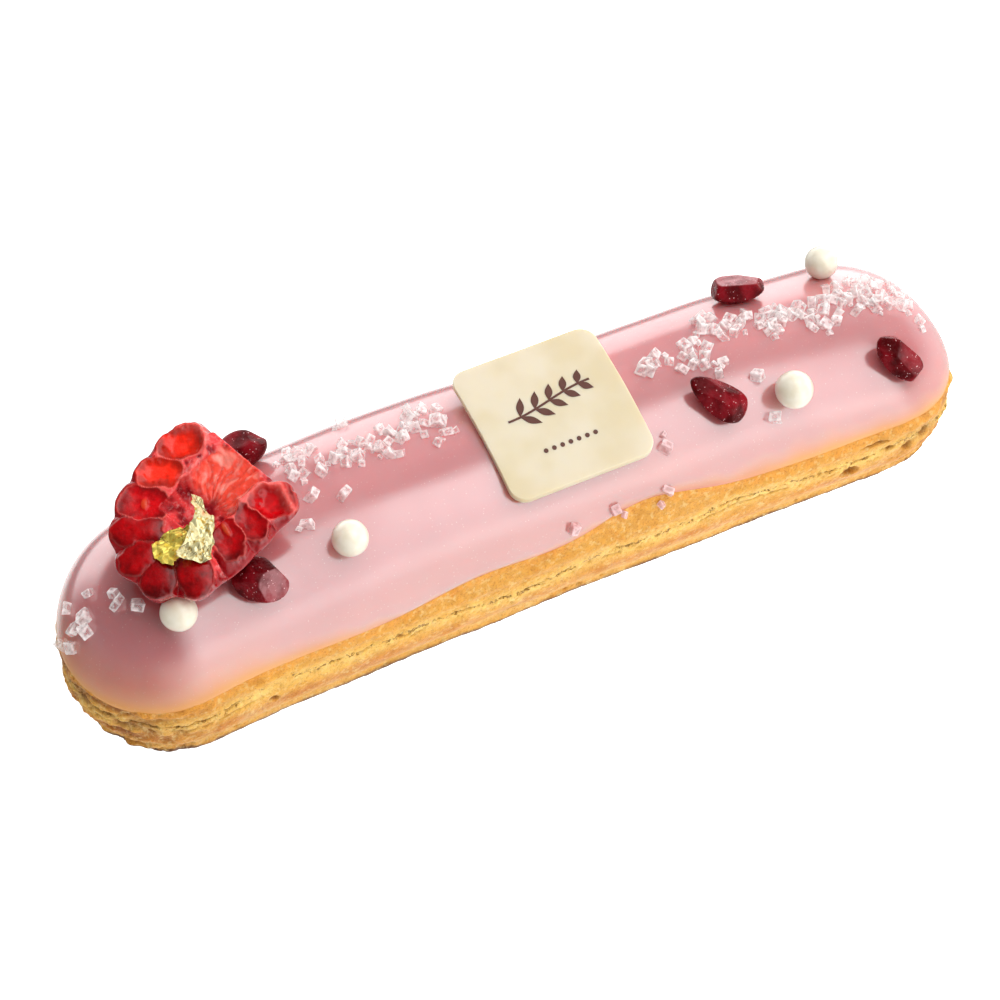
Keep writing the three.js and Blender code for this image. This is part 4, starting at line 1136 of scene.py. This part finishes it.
def stroke(path, widths):
    """A flat stroke along a path, as a closed strip just proud of the plaque's top face."""
    ahead = np.gradient(path, axis=0)
    aside = np.column_stack([-ahead[:, 1], ahead[:, 0]]) / np.linalg.norm(ahead, axis=1)[:, None]
    left, right = path + aside * widths[:, None] / 2, path - aside * widths[:, None] / 2
    count = len(path)
    layers = [
        plaque_shape(flat, PLAQUE_THICKNESS + plaque_wave(flat) + level)
        for level in PRINT_LEVELS for flat in (left, right)
    ]
    top_left, top_right, low_left, low_right = (np.arange(count) + count * layer for layer in range(4))
    faces = []
    for a in range(count - 1):
        b = a + 1
        faces += [[top_left[a], top_right[a], top_right[b], top_left[b]],
                  [low_left[a], low_left[b], low_right[b], low_right[a]],
                  [top_left[a], top_left[b], low_left[b], low_left[a]],
                  [top_right[a], low_right[a], low_right[b], top_right[b]]]
    for end, flip in ((0, 1), (count - 1, -1)):
        faces.append([top_left[end], low_left[end], low_right[end], top_right[end]][::flip])
    return np.concatenate(layers), faces


def add_print(lift):
    """A sprig of leaves over a row of dots, printed on the plaque."""
    line = np.linspace(0, 1, 33)
    swell = np.sin(np.pi * line)
    sway = STEM_SWAY * np.sin(lerp(-STEM_LEVEL, STEM_LEVEL, line))
    stem = np.column_stack([lerp(-STEM_HALF, STEM_HALF, line), STEM_LEVEL + sway])
    strokes = [stroke(stem, STEM_WIDTH + 0 * line)]
    for share in LEAF_ROOTS:
        root = np.array([np.interp(share, line, stem[:, axis]) for axis in range(2)])
        for side in (1, -1):
            lean = math.radians(14 + side * 52)
            run = np.column_stack([line * math.cos(lean), line * math.sin(lean)])
            strokes.append(stroke(root + (3.6 - 1.2 * share) * run, 0.04 + LEAF_WIDTH * swell ** 1.2))
    reach, level, count = DOT_ROW
    for place in np.linspace(-reach, reach, count):
        dot = np.column_stack([place + DOT_RADIUS * np.cos(np.pi * line), level + 0 * line])
        strokes.append(stroke(dot[::-1], 0.02 + 2 * DOT_RADIUS * swell))
    points, faces = joined(strokes)
    add_piece("plaque_print", points + lift, faces, print_material(), "cocoa_print", rounded=False)


# Raspberry

def cell_reach(x, y):
    """How far places lie from the middle of each cell, 1 on its rim."""
    reaches = []
    for cell in CELLS:
        along, aside = along_aside(x, y, cell)
        total = np.abs(along / cell["long"]) ** CELL_POWER + np.abs(aside / cell["wide"]) ** CELL_POWER
        reaches.append(total ** (1 / CELL_POWER))
    return np.array(reaches)


def path_distance(x, y, path):
    """Distance from places to the nearest point of a path."""
    nearest = np.full(np.shape(x), np.inf)
    for (ax, ay), (bx, by) in zip(path[:-1], path[1:]):
        run_x, run_y = bx - ax, by - ay
        share = np.clip(((x - ax) * run_x + (y - ay) * run_y) / (run_x ** 2 + run_y ** 2), 0, 1)
        nearest = np.minimum(nearest, np.hypot(x - ax - share * run_x, y - ay - share * run_y))
    return nearest


def hollow_depth(x, y):
    """Depth of the hollow: steep below the tip's side, then a ramp up to the mouth."""
    near = np.clip((x - HOLLOW["start"]) / (HOLLOW["deepest"] - HOLLOW["start"]), 0, 1)
    ramp = np.clip((HOLLOW["end"] - x) / (HOLLOW["end"] - HOLLOW["deepest"]), 0, 1)
    aside = np.clip(1 - ((y - HOLLOW["y"]) / HOLLOW["wide"]) ** 2, 0, 1)
    return HOLLOW["deep"] * np.sqrt(near * (2 - near) * aside) * ramp ** 0.8


def celled_face(x, y, flat, reach, rolled, tangle):
    """Level, colour and fleshiness of the cells, the walls between them and the flesh round them."""
    nearest = reach.argmin(0)
    rim, next_rim = np.sort(reach, axis=0)[:2]
    rise, cell_x, cell_y, tones = (
        np.array([cell[key] for cell in CELLS])[nearest] for key in ("rise", "x", "y", "colour")
    )
    # Places past the middle of their cell, seen from the middle of the face, are the berry's outer side
    out_x, out_y = cell_x - FACE_MIDDLE[0], cell_y - FACE_MIDDLE[1]
    beyond = (x - FACE_MIDDLE[0]) * out_x + (y - FACE_MIDDLE[1]) * out_y - out_x ** 2 - out_y ** 2
    outer = smooth(beyond, 0, 6)
    wall = bell(next_rim - rim, 0, 0.06) * (rim < 1.1)
    opened = (rise < 0) * 1.0
    bulge = np.maximum(rise, 0) * np.sqrt(np.maximum(1.1 - rim ** 2, 0))
    sunk = np.minimum(rise, 0) * (1 - smooth(rim, 0.3, 0.98))
    lip = 0.15 * opened * bell(rim, 1.06, 0.1)
    shoulder = smooth(berry_body(np.stack([x, y, 0 * x], -1)), -2.6, -0.8) * smooth(rim, 1.0, 1.15)
    shoulder = shoulder * smooth(-y, 2, 6) * (1 - rolled)
    # The flesh between the cells and the hollow: its rim, and the tangled band inside that
    between = smooth(rim, 0.97, 1.1) * (1 - outer)
    band = smooth(rim, 1.08, 1.3) * (1 - outer)
    level = bulge + sunk * (1 - 0.8 * wall) + lip - 0.25 * wall * (1 - opened)
    level = level - 1.2 * outer * smooth(rim, 1.05, 1.6) + ROLLED_RISE * rolled
    level = level - shoulder + band * (0.2 * tangle + 0.2 * noise(flat, 0.5, 84))
    # Each cell is painted darker towards its rim: painted shade
    inside = painted(tones * 1.15, (tones * 0.5, smooth(rim + 0.4 * noise(flat, 1.8, 80), 0.4, 1.1)))
    mottle = 1 + 0.22 * noise(flat, 0.5, 88) + 0.2 * noise(flat, 1.2, 89)
    colour = painted(
        inside * mottle[..., None],
        (FLESH_PINK, wall * (0.15 + 0.55 * opened)),
        (BAND_PINK, between),
        (FLESH_PINK, bell(rim, 1.02, 0.045) * (0.3 + 0.4 * opened) * (1 - 0.6 * outer)),
        (SKIN_RED, np.maximum(smooth(rim, 1.03, 1.12) * outer, shoulder)),
        (FLESH_PINK, 0.7 * rolled),
        (DEEP_BAND, np.clip(band * (0.15 - 1.6 * tangle), 0, 1)),
    )
    return level, colour, np.maximum(between, rolled)


def hollow_lining(x, y, flat, tangle):
    """Relief and colour of the hollow: pulp towards the tip, and lobes that fan out over the far wall."""
    bearing = np.arctan2(y - FAN_CENTRE[1], x - FAN_CENTRE[0])
    away = np.hypot(x - FAN_CENTRE[0], y - FAN_CENTRE[1])
    wander = 13 * noise(flat, 2.6, 77)
    lobes = np.abs(np.sin(math.pi * (np.degrees(bearing) + wander) / FAN_LOBE)) ** 0.8
    fan = np.stack([bearing * 3.0 + 0.35 * noise(flat, 2.5, 77), away * 0.22], -1)
    streaks = 0.8 * noise(fan, 0.26, 86) + 0.2 * noise(flat, 0.7, 87)
    far_wall = smooth(x + 0.6 * tangle, 3.6, 6.2)
    rough = 0.25 * tangle + 0.15 * noise(flat, 0.5, 84)
    relief = lerp(rough, 0.35 * lobes - 0.2 + 0.1 * streaks, far_wall) * smooth(away, 0.6, 3.0)
    wall = painted(WALL_RED * 0.82, (WALL_RED, lobes), (STREAK_PINK, np.clip(1.6 * streaks, 0, 0.65)))
    # Darker at the deepest place of the hollow: painted shade
    throat_shade = 0.6 * (1 - smooth(away, 0.8, 3.2))
    pulp = np.clip(0.35 - 1.3 * tangle, 0, 1)
    return relief, painted(BAND_PINK, (DEEP_BAND, pulp), (wall, far_wall), (DEEP_BAND, throat_shade))


def cut_face(x, y):
    """Level, colour and fleshiness of the berry's cut face."""
    flat = np.stack([x, y], -1)
    warped_x = x + 0.42 * noise(flat, 1.7, 81) + 0.16 * noise(flat, 0.6, 78)
    warped_y = y + 0.42 * noise(flat, 1.7, 82) + 0.16 * noise(flat, 0.6, 79)
    tangle = noise(flat, 0.9, 83)
    rolls = [bell(path_distance(warped_x, warped_y, path), 0, ROLLED_REACH) for path in ROLLED_RIMS]
    rolled = np.max(rolls, axis=0)
    level, colour, flesh = celled_face(x, y, flat, cell_reach(warped_x, warped_y), rolled, tangle)
    for seed in SEEDS:
        along, aside = along_aside(x, y, seed)
        body = np.maximum(1 - (along / seed["long"]) ** 2 - (aside / seed["wide"]) ** 2, 0)
        level = level + SEED_RISE * np.sqrt(body)
        colour = painted(colour, (SEED_ORANGE, 0.2 * smooth(body, 0, 0.9)))
    depth = hollow_depth(warped_x, warped_y)
    hollow = smooth(depth, 0.05, 0.7) * (1 - 0.85 * rolled)
    relief, lining = hollow_lining(x, y, flat, tangle)
    lowest = np.minimum(level, lerp(level, relief - depth, hollow))
    return lowest, painted(colour, (lining, hollow)), np.maximum(flesh, hollow)


def ellipsoid_field(points, radii):
    """Signed distance, near enough, to an ellipsoid about the origin."""
    away = points / radii
    first = np.linalg.norm(away, axis=-1)
    second = np.linalg.norm(away / radii, axis=-1)
    return first * (first - 1) / np.maximum(second, 1e-6)


def soft_min(first, second, reach):
    """The smaller of two fields, blended where they are close."""
    share = np.clip(0.5 + 0.5 * (second - first) / reach, 0, 1)
    return lerp(second, first, share) - reach * share * (1 - share)


def berry_radius(share):
    if share < BERRY_FULLEST:
        return BERRY_RADIUS * math.sqrt(1 - (1 - share / BERRY_FULLEST) ** 2)
    return BERRY_RADIUS * (1 - BERRY_MOUTH_SHRINK * ((share - BERRY_FULLEST) / (1 - BERRY_FULLEST)) ** 2)


def whole_drupelets():
    """Middles of the drupelets in the rows below the cut."""
    random = draws(BERRY_SEED)
    middles = []
    for share in BERRY_ROWS:
        reach = berry_radius(share) - DRUPELET_RADIUS
        steps = round(math.pi * reach / DRUPELET_PITCH)
        for step in range(1, steps):
            angle = math.pi * step / steps
            shift = DRUPELET_SHIFT * (2 * next(random) - 1)
            along = (share - 0.5) * BERRY_LENGTH + shift
            middles.append((along, reach * math.cos(angle), -BERRY_FLATTEN * reach * math.sin(angle)))
    return middles


def berry_body(points):
    """Field of the berry's plain body: rounded at the tip, straight towards the mouth."""
    along = points[..., 0] - BERRY_BEND
    tip = np.stack([np.minimum(along, 0), points[..., 1], points[..., 2]], -1)
    return -soft_min(-ellipsoid_field(tip, BERRY_RADII), BERRY_MOUTH - points[..., 0], BERRY_MOUTH_ROUND)


def berry_field(axes):
    """Signed field of the half berry, sampled on a grid: below zero inside."""
    x, y, z = np.meshgrid(*axes, indexing="ij")
    points = np.stack([x, y, z], -1)
    field = berry_body(points)
    margin = 0.8

    def window(middle, reach):
        return tuple(slice(*np.searchsorted(axis, (centre - reach - margin, centre + reach + margin)))
                     for axis, centre in zip(axes, middle))

    for cell in CELLS:
        radii = np.array([cell["long"] + CELL_WALL, cell["wide"] + CELL_WALL, CELL_DEPTH])
        near = window((cell["x"], cell["y"], -CELL_SINK), radii.max())
        along, aside = along_aside(x[near], y[near], cell)
        grain = ellipsoid_field(np.stack([along, aside, z[near] + CELL_SINK], -1), radii)
        field[near] = soft_min(field[near], grain, CELL_BLEND)
    for middle in whole_drupelets():
        near = window(middle, DRUPELET_RADIUS)
        grain = np.linalg.norm(points[near] - np.array(middle), axis=-1) - DRUPELET_RADIUS
        field[near] = soft_min(field[near], grain, DRUPELET_BLEND)
    level, _, _ = cut_face(x[:, :, 0], y[:, :, 0])
    slope = np.hypot(*np.gradient(level, axes[0], axes[1]))
    above = (z - level[:, :, None]) / np.sqrt(1 + slope ** 2)[:, :, None]
    return -soft_min(-field, -above, FACE_ROUND)


def surface_net(field, axes):
    """Points and quads of the surface where a sampled field is zero."""
    low = [axis[0] for axis in axes]
    pitch = axes[0][1] - axes[0][0]
    shape = np.array(field.shape) - 1
    total = np.zeros((*shape, 3), np.float32)
    count = np.zeros(shape, np.float32)
    crossings = []
    for axis in range(3):
        others = [other for other in range(3) if other != axis]
        start, end = [slice(None)] * 3, [slice(None)] * 3
        start[axis], end[axis] = slice(None, -1), slice(1, None)
        near, far = field[tuple(start)], field[tuple(end)]
        crossed = (near < 0) != (far < 0)
        share = np.where(crossed, near / np.where(crossed, near - far, 1), 0)
        crossings.append((axis, others, crossed, near < 0))
        for first, second in itertools.product((0, 1), repeat=2):
            part = [slice(None)] * 3
            part[others[0]] = slice(first, first + shape[others[0]])
            part[others[1]] = slice(second, second + shape[others[1]])
            hit = crossed[tuple(part)]
            total[..., axis] += hit * share[tuple(part)]
            total[..., others[0]] += hit * first
            total[..., others[1]] += hit * second
            count += hit
    used = count > 0
    number = np.full(shape, -1, np.int64)
    number[used] = np.arange(used.sum())
    points = np.array(low) + pitch * (np.argwhere(used) + total[used] / count[used][:, None])
    quads = []
    for axis, others, crossed, inside in crossings:
        part = [slice(None)] * 3
        part[others[0]], part[others[1]] = slice(1, -1), slice(1, -1)
        place = np.argwhere(crossed[tuple(part)])
        leaving = inside[tuple(part)][crossed[tuple(part)]]
        place[:, others] += 1
        loop = []
        for first, second in ((-1, -1), (0, -1), (0, 0), (-1, 0)):
            cell = place.copy()
            cell[:, others[0]] += first
            cell[:, others[1]] += second
            loop.append(number[tuple(cell.T)])
        outward = leaving if axis != 1 else ~leaving
        loop = np.stack(loop, -1)
        quads.append(np.where(outward[:, None], loop, loop[:, ::-1]))
    return points, np.concatenate(quads)


def add_raspberry():
    axes = [np.arange(low, high, BERRY_PITCH) for low, high in BERRY_RANGES]
    points, faces = surface_net(berry_field(axes), axes)
    level, face_colour, flesh = cut_face(points[:, 0], points[:, 1])
    on_face = smooth(points[:, 2] - level, -0.5, -0.15)
    bloom_and_light = np.clip(0.35 + 0.5 * noise(points, 1.6, 91) + 0.3 * noise(points, 0.6, 92), 0, 1)
    # Kept to the side turned to the light: real bloom, with painted light
    bloom_and_light = bloom_and_light * smooth(-points[:, 1], -2, 6)
    colour = painted(SKIN_RED, (BLOOM_AND_LIT_PINK, 0.5 * bloom_and_light), (face_colour, on_face))
    placed = turned(points, *BERRY_TURNS)
    at_rest = settled(placed, *BERRY_PLACE, BERRY_SINK)
    add_piece("raspberry_half", at_rest, faces, berry_material(), "raspberry", ["raspberry"],
              tint=colour, flesh=flesh * on_face)
    return at_rest[0] - placed[0]


# Gold leaf

def crumple(flat, seed):
    """Height of a sheet folded to and fro along straight creases, and how near each place is a valley."""
    random = draws(seed)
    bent = flat + 0.25 * np.stack([noise(flat, 1.6, seed), noise(flat, 1.6, seed + 1)], -1)
    level = np.zeros(flat.shape[:2])
    valley = np.ones(flat.shape[:2])
    for width, height in LEAF_FOLDS:
        turn, start = math.pi * next(random), next(random)
        across = (bent @ np.array([math.cos(turn), math.sin(turn)])) / width + start
        fold = np.abs(2 * (across - np.floor(across)) - 1)
        level += height * fold
        valley = np.minimum(valley, fold * width)
    return level, valley


def leaf_edge(corners, seed):
    """A ragged edge through corner points."""
    run = np.linspace(0, 1, LEAF_GRID[0])
    shares = np.linspace(0, 1, len(corners))
    edge = np.column_stack([np.interp(run, shares, corners[:, axis]) for axis in range(2)])
    ragged = np.column_stack([noise(run[:, None] * 12, 0.8, seed + axis) for axis in range(2)])
    return edge + LEAF_FRAY * ragged


def leaf_strip(strip, seed):
    """One crumpled strip of leaf between two ragged edges, lying on the berry's cut face."""
    rows, columns = LEAF_GRID
    corners = np.array(strip["rows"])
    left, right = leaf_edge(corners[:, 0], seed), leaf_edge(corners[:, 1], seed + 2)
    share = np.linspace(0, 1, columns)
    flat = left[:, None] + (right - left)[:, None] * share[None, :, None]
    crumpled, valley = crumple(flat, seed + 4)
    face, _, _ = cut_face(flat[..., 0], flat[..., 1])
    lean = strip["lean"] * (1 - share)[None, :]
    level = np.maximum(face, LEAF_LOWEST) + strip["height"] + crumpled + lean
    torn = smooth(noise(flat, 1.3, seed + 7), -0.1, 0.3)
    # Darker along the fold valleys: painted shade in the creases
    crease = (bell(valley, 0, LEAF_CREASE) * torn).ravel()
    top = np.concatenate([flat, level[..., None]], -1).reshape(-1, 3)
    under = top - np.array([0, 0, LEAF_THICKNESS])
    count = rows * columns
    sheet = grid_faces(rows, columns, wrap=False)
    rim = np.concatenate([np.arange(columns), np.arange(1, rows) * columns + columns - 1,
                          (rows - 1) * columns + np.arange(columns - 2, -1, -1),
                          np.arange(rows - 2, 0, -1) * columns])
    after = np.roll(rim, -1)
    hem = np.stack([after, rim, rim + count, after + count], -1)
    a, b, c = top[sheet[0][:3]]
    facing_up = np.cross(b - a, c - a)[2] > 0
    faces = np.concatenate([sheet, sheet[:, ::-1] + count, hem])
    return np.concatenate([top, under]), faces if facing_up else faces[:, ::-1], np.tile(crease, 2)


def add_gold_leaf(lift):
    strips = [leaf_strip(strip, LEAF_SEED + 10 * index) for index, strip in enumerate(LEAF_STRIPS)]
    points, faces = joined([strip[:2] for strip in strips])
    crease = np.concatenate([strip[2] for strip in strips])
    # How much painted light each strip carries
    pale = np.repeat([strip["pale"] for strip in LEAF_STRIPS], [len(strip[0]) for strip in strips])
    add_piece("gold_leaf_sheet", turned(points, *BERRY_TURNS) + lift, faces, gold_material(), "gold_leaf",
              ["gold_leaf"], crease=crease, pale=pale)


# Stage

def add_floor():
    """A pale floor that glows a little, more to the right, so that its shadows stay soft."""
    corners = [(x * FLOOR_HALF, y * FLOOR_HALF, 0) for x, y in ((-1, -1), (1, -1), (1, 1), (-1, 1))]
    mesh = bpy.data.meshes.new("floor")
    mesh.from_pydata(corners, [], [(0, 1, 2, 3)])
    floor = bpy.data.objects.new("floor", mesh)
    floor.location.z = -FLOOR_DROP
    bpy.context.scene.collection.objects.link(floor)
    made = Material("floor", Base_Color=(0.06, 0.06, 0.06), Roughness=0.9, Specular_IOR_Level=0.0,
                    Emission_Color=(1, 1, 1))
    aside = made.add("SeparateXYZ", "X", Vector=made.place)
    made.set("Emission Strength", made.span(aside, *FLOOR_FADE, *FLOOR_GLOW))
    mesh.materials.append(made.material)
    floor.visible_glossy = False


def aimed(name, data, place, ahead):
    """A light or camera at a place in millimetres, facing ahead."""
    holder = bpy.data.objects.new(name, data)
    holder.location = Vector(place) * MM
    holder.rotation_mode = "QUATERNION"
    holder.rotation_quaternion = ahead.to_track_quat("-Z", "Y")
    bpy.context.scene.collection.objects.link(holder)
    return holder


def add_light():
    """A large soft box above the right, facing the eclair, left out of its reflections."""
    light = bpy.data.lights.new("right_box", "AREA")
    light.shape = "RECTANGLE"
    light.size = KEY_SIDE * MM
    light.size_y = KEY_SIDE * MM
    light.energy = 4 * KEY_RADIANCE * light.size * light.size_y
    toward = (Vector(CAMERA_TARGET) - Vector(KEY_PLACE)).normalized()
    aimed("right_box", light, KEY_PLACE, toward).visible_glossy = False


def add_world():
    """A dim room that the icing mirrors: a bright box at the front, low walls, a backdrop and a ceiling."""
    world = bpy.data.worlds.new("studio")
    bpy.context.scene.world = world
    world.use_nodes = True
    nodes = Nodes(world.node_tree)
    place = nodes.add("TexCoord", "Generated")
    x, y, z = (nodes.add("SeparateXYZ", axis, Vector=place) for axis in "XYZ")
    box = nodes.product(
        nodes.span(x, -0.2, 0.32), nodes.span(x, 0.48, 0.68, 1, 0), nodes.span(y, -0.05, 0.26, 1, 0),
        nodes.span(y, -1.0, -0.3, 0.85, 1), nodes.span(z, 0.0, 0.4, 0.35, 1), BOX_RADIANCE,
    )
    wall = nodes.product(
        nodes.span(z, 0.0, 0.6, 1, 0), nodes.span(x, -0.7, 0.1, 0.15, 1),
        nodes.maths("MAXIMUM", nodes.span(y, 0.2, 0.6, 1, 0.25), nodes.span(x, 0.35, 0.6)), WALL_RADIANCE,
    )
    table_top = nodes.product(nodes.span(z, -0.52, -0.42, 0.7, 0), nodes.span(x, -0.6, 0.0, 0.0, 1))
    backdrop = nodes.product(
        nodes.span(y, 0.5, 0.75), nodes.maths("ADD", nodes.span(z, -0.24, -0.16), table_top),
        nodes.span(z, 0.36, 0.5, 1, 0), nodes.span(x, -0.75, -0.35), BACKDROP_RADIANCE,
    )
    ceiling = nodes.product(
        nodes.span(x, -0.1, 0.15), nodes.span(y, 0.08, 0.2), nodes.span(z, 0.4, 0.58), CEILING_RADIANCE,
    )
    strength = ROOM_RADIANCE
    for lit in (box, wall, backdrop, ceiling):
        strength = nodes.maths("ADD", lit, strength)
    background = world.node_tree.nodes["Background"]
    nodes.feed(background.inputs["Strength"], strength)
    nodes.feed(background.inputs["Color"], (1, 1, 1))


def add_camera():
    azimuth, elevation = math.radians(CAMERA_AZIMUTH), math.radians(CAMERA_ELEVATION)
    flat = math.cos(elevation)
    back = Vector((math.sin(azimuth) * flat, -math.cos(azimuth) * flat, math.sin(elevation)))
    data = bpy.data.cameras.new("camera")
    data.sensor_width = SENSOR
    data.lens = CAMERA_SCALE * CAMERA_DISTANCE * SENSOR / IMAGE_SIDE
    data.shift_x = (IMAGE_SIDE / 2 - TARGET_PIXEL[0]) / IMAGE_SIDE
    data.shift_y = (TARGET_PIXEL[1] - IMAGE_SIDE / 2) / IMAGE_SIDE
    place = Vector(CAMERA_TARGET) + CAMERA_DISTANCE * back
    bpy.context.scene.camera = aimed("camera", data, place, -back)


add_camera()
add_world()
add_floor()
add_light()
bpy.context.scene.view_settings.view_transform = "Standard"

add_pastry()
add_icing()
add_sugar()
add_pearls()
add_arils()
plaque_lift = add_plaque()
add_print(plaque_lift)
berry_lift = add_raspberry()
add_gold_leaf(berry_lift)
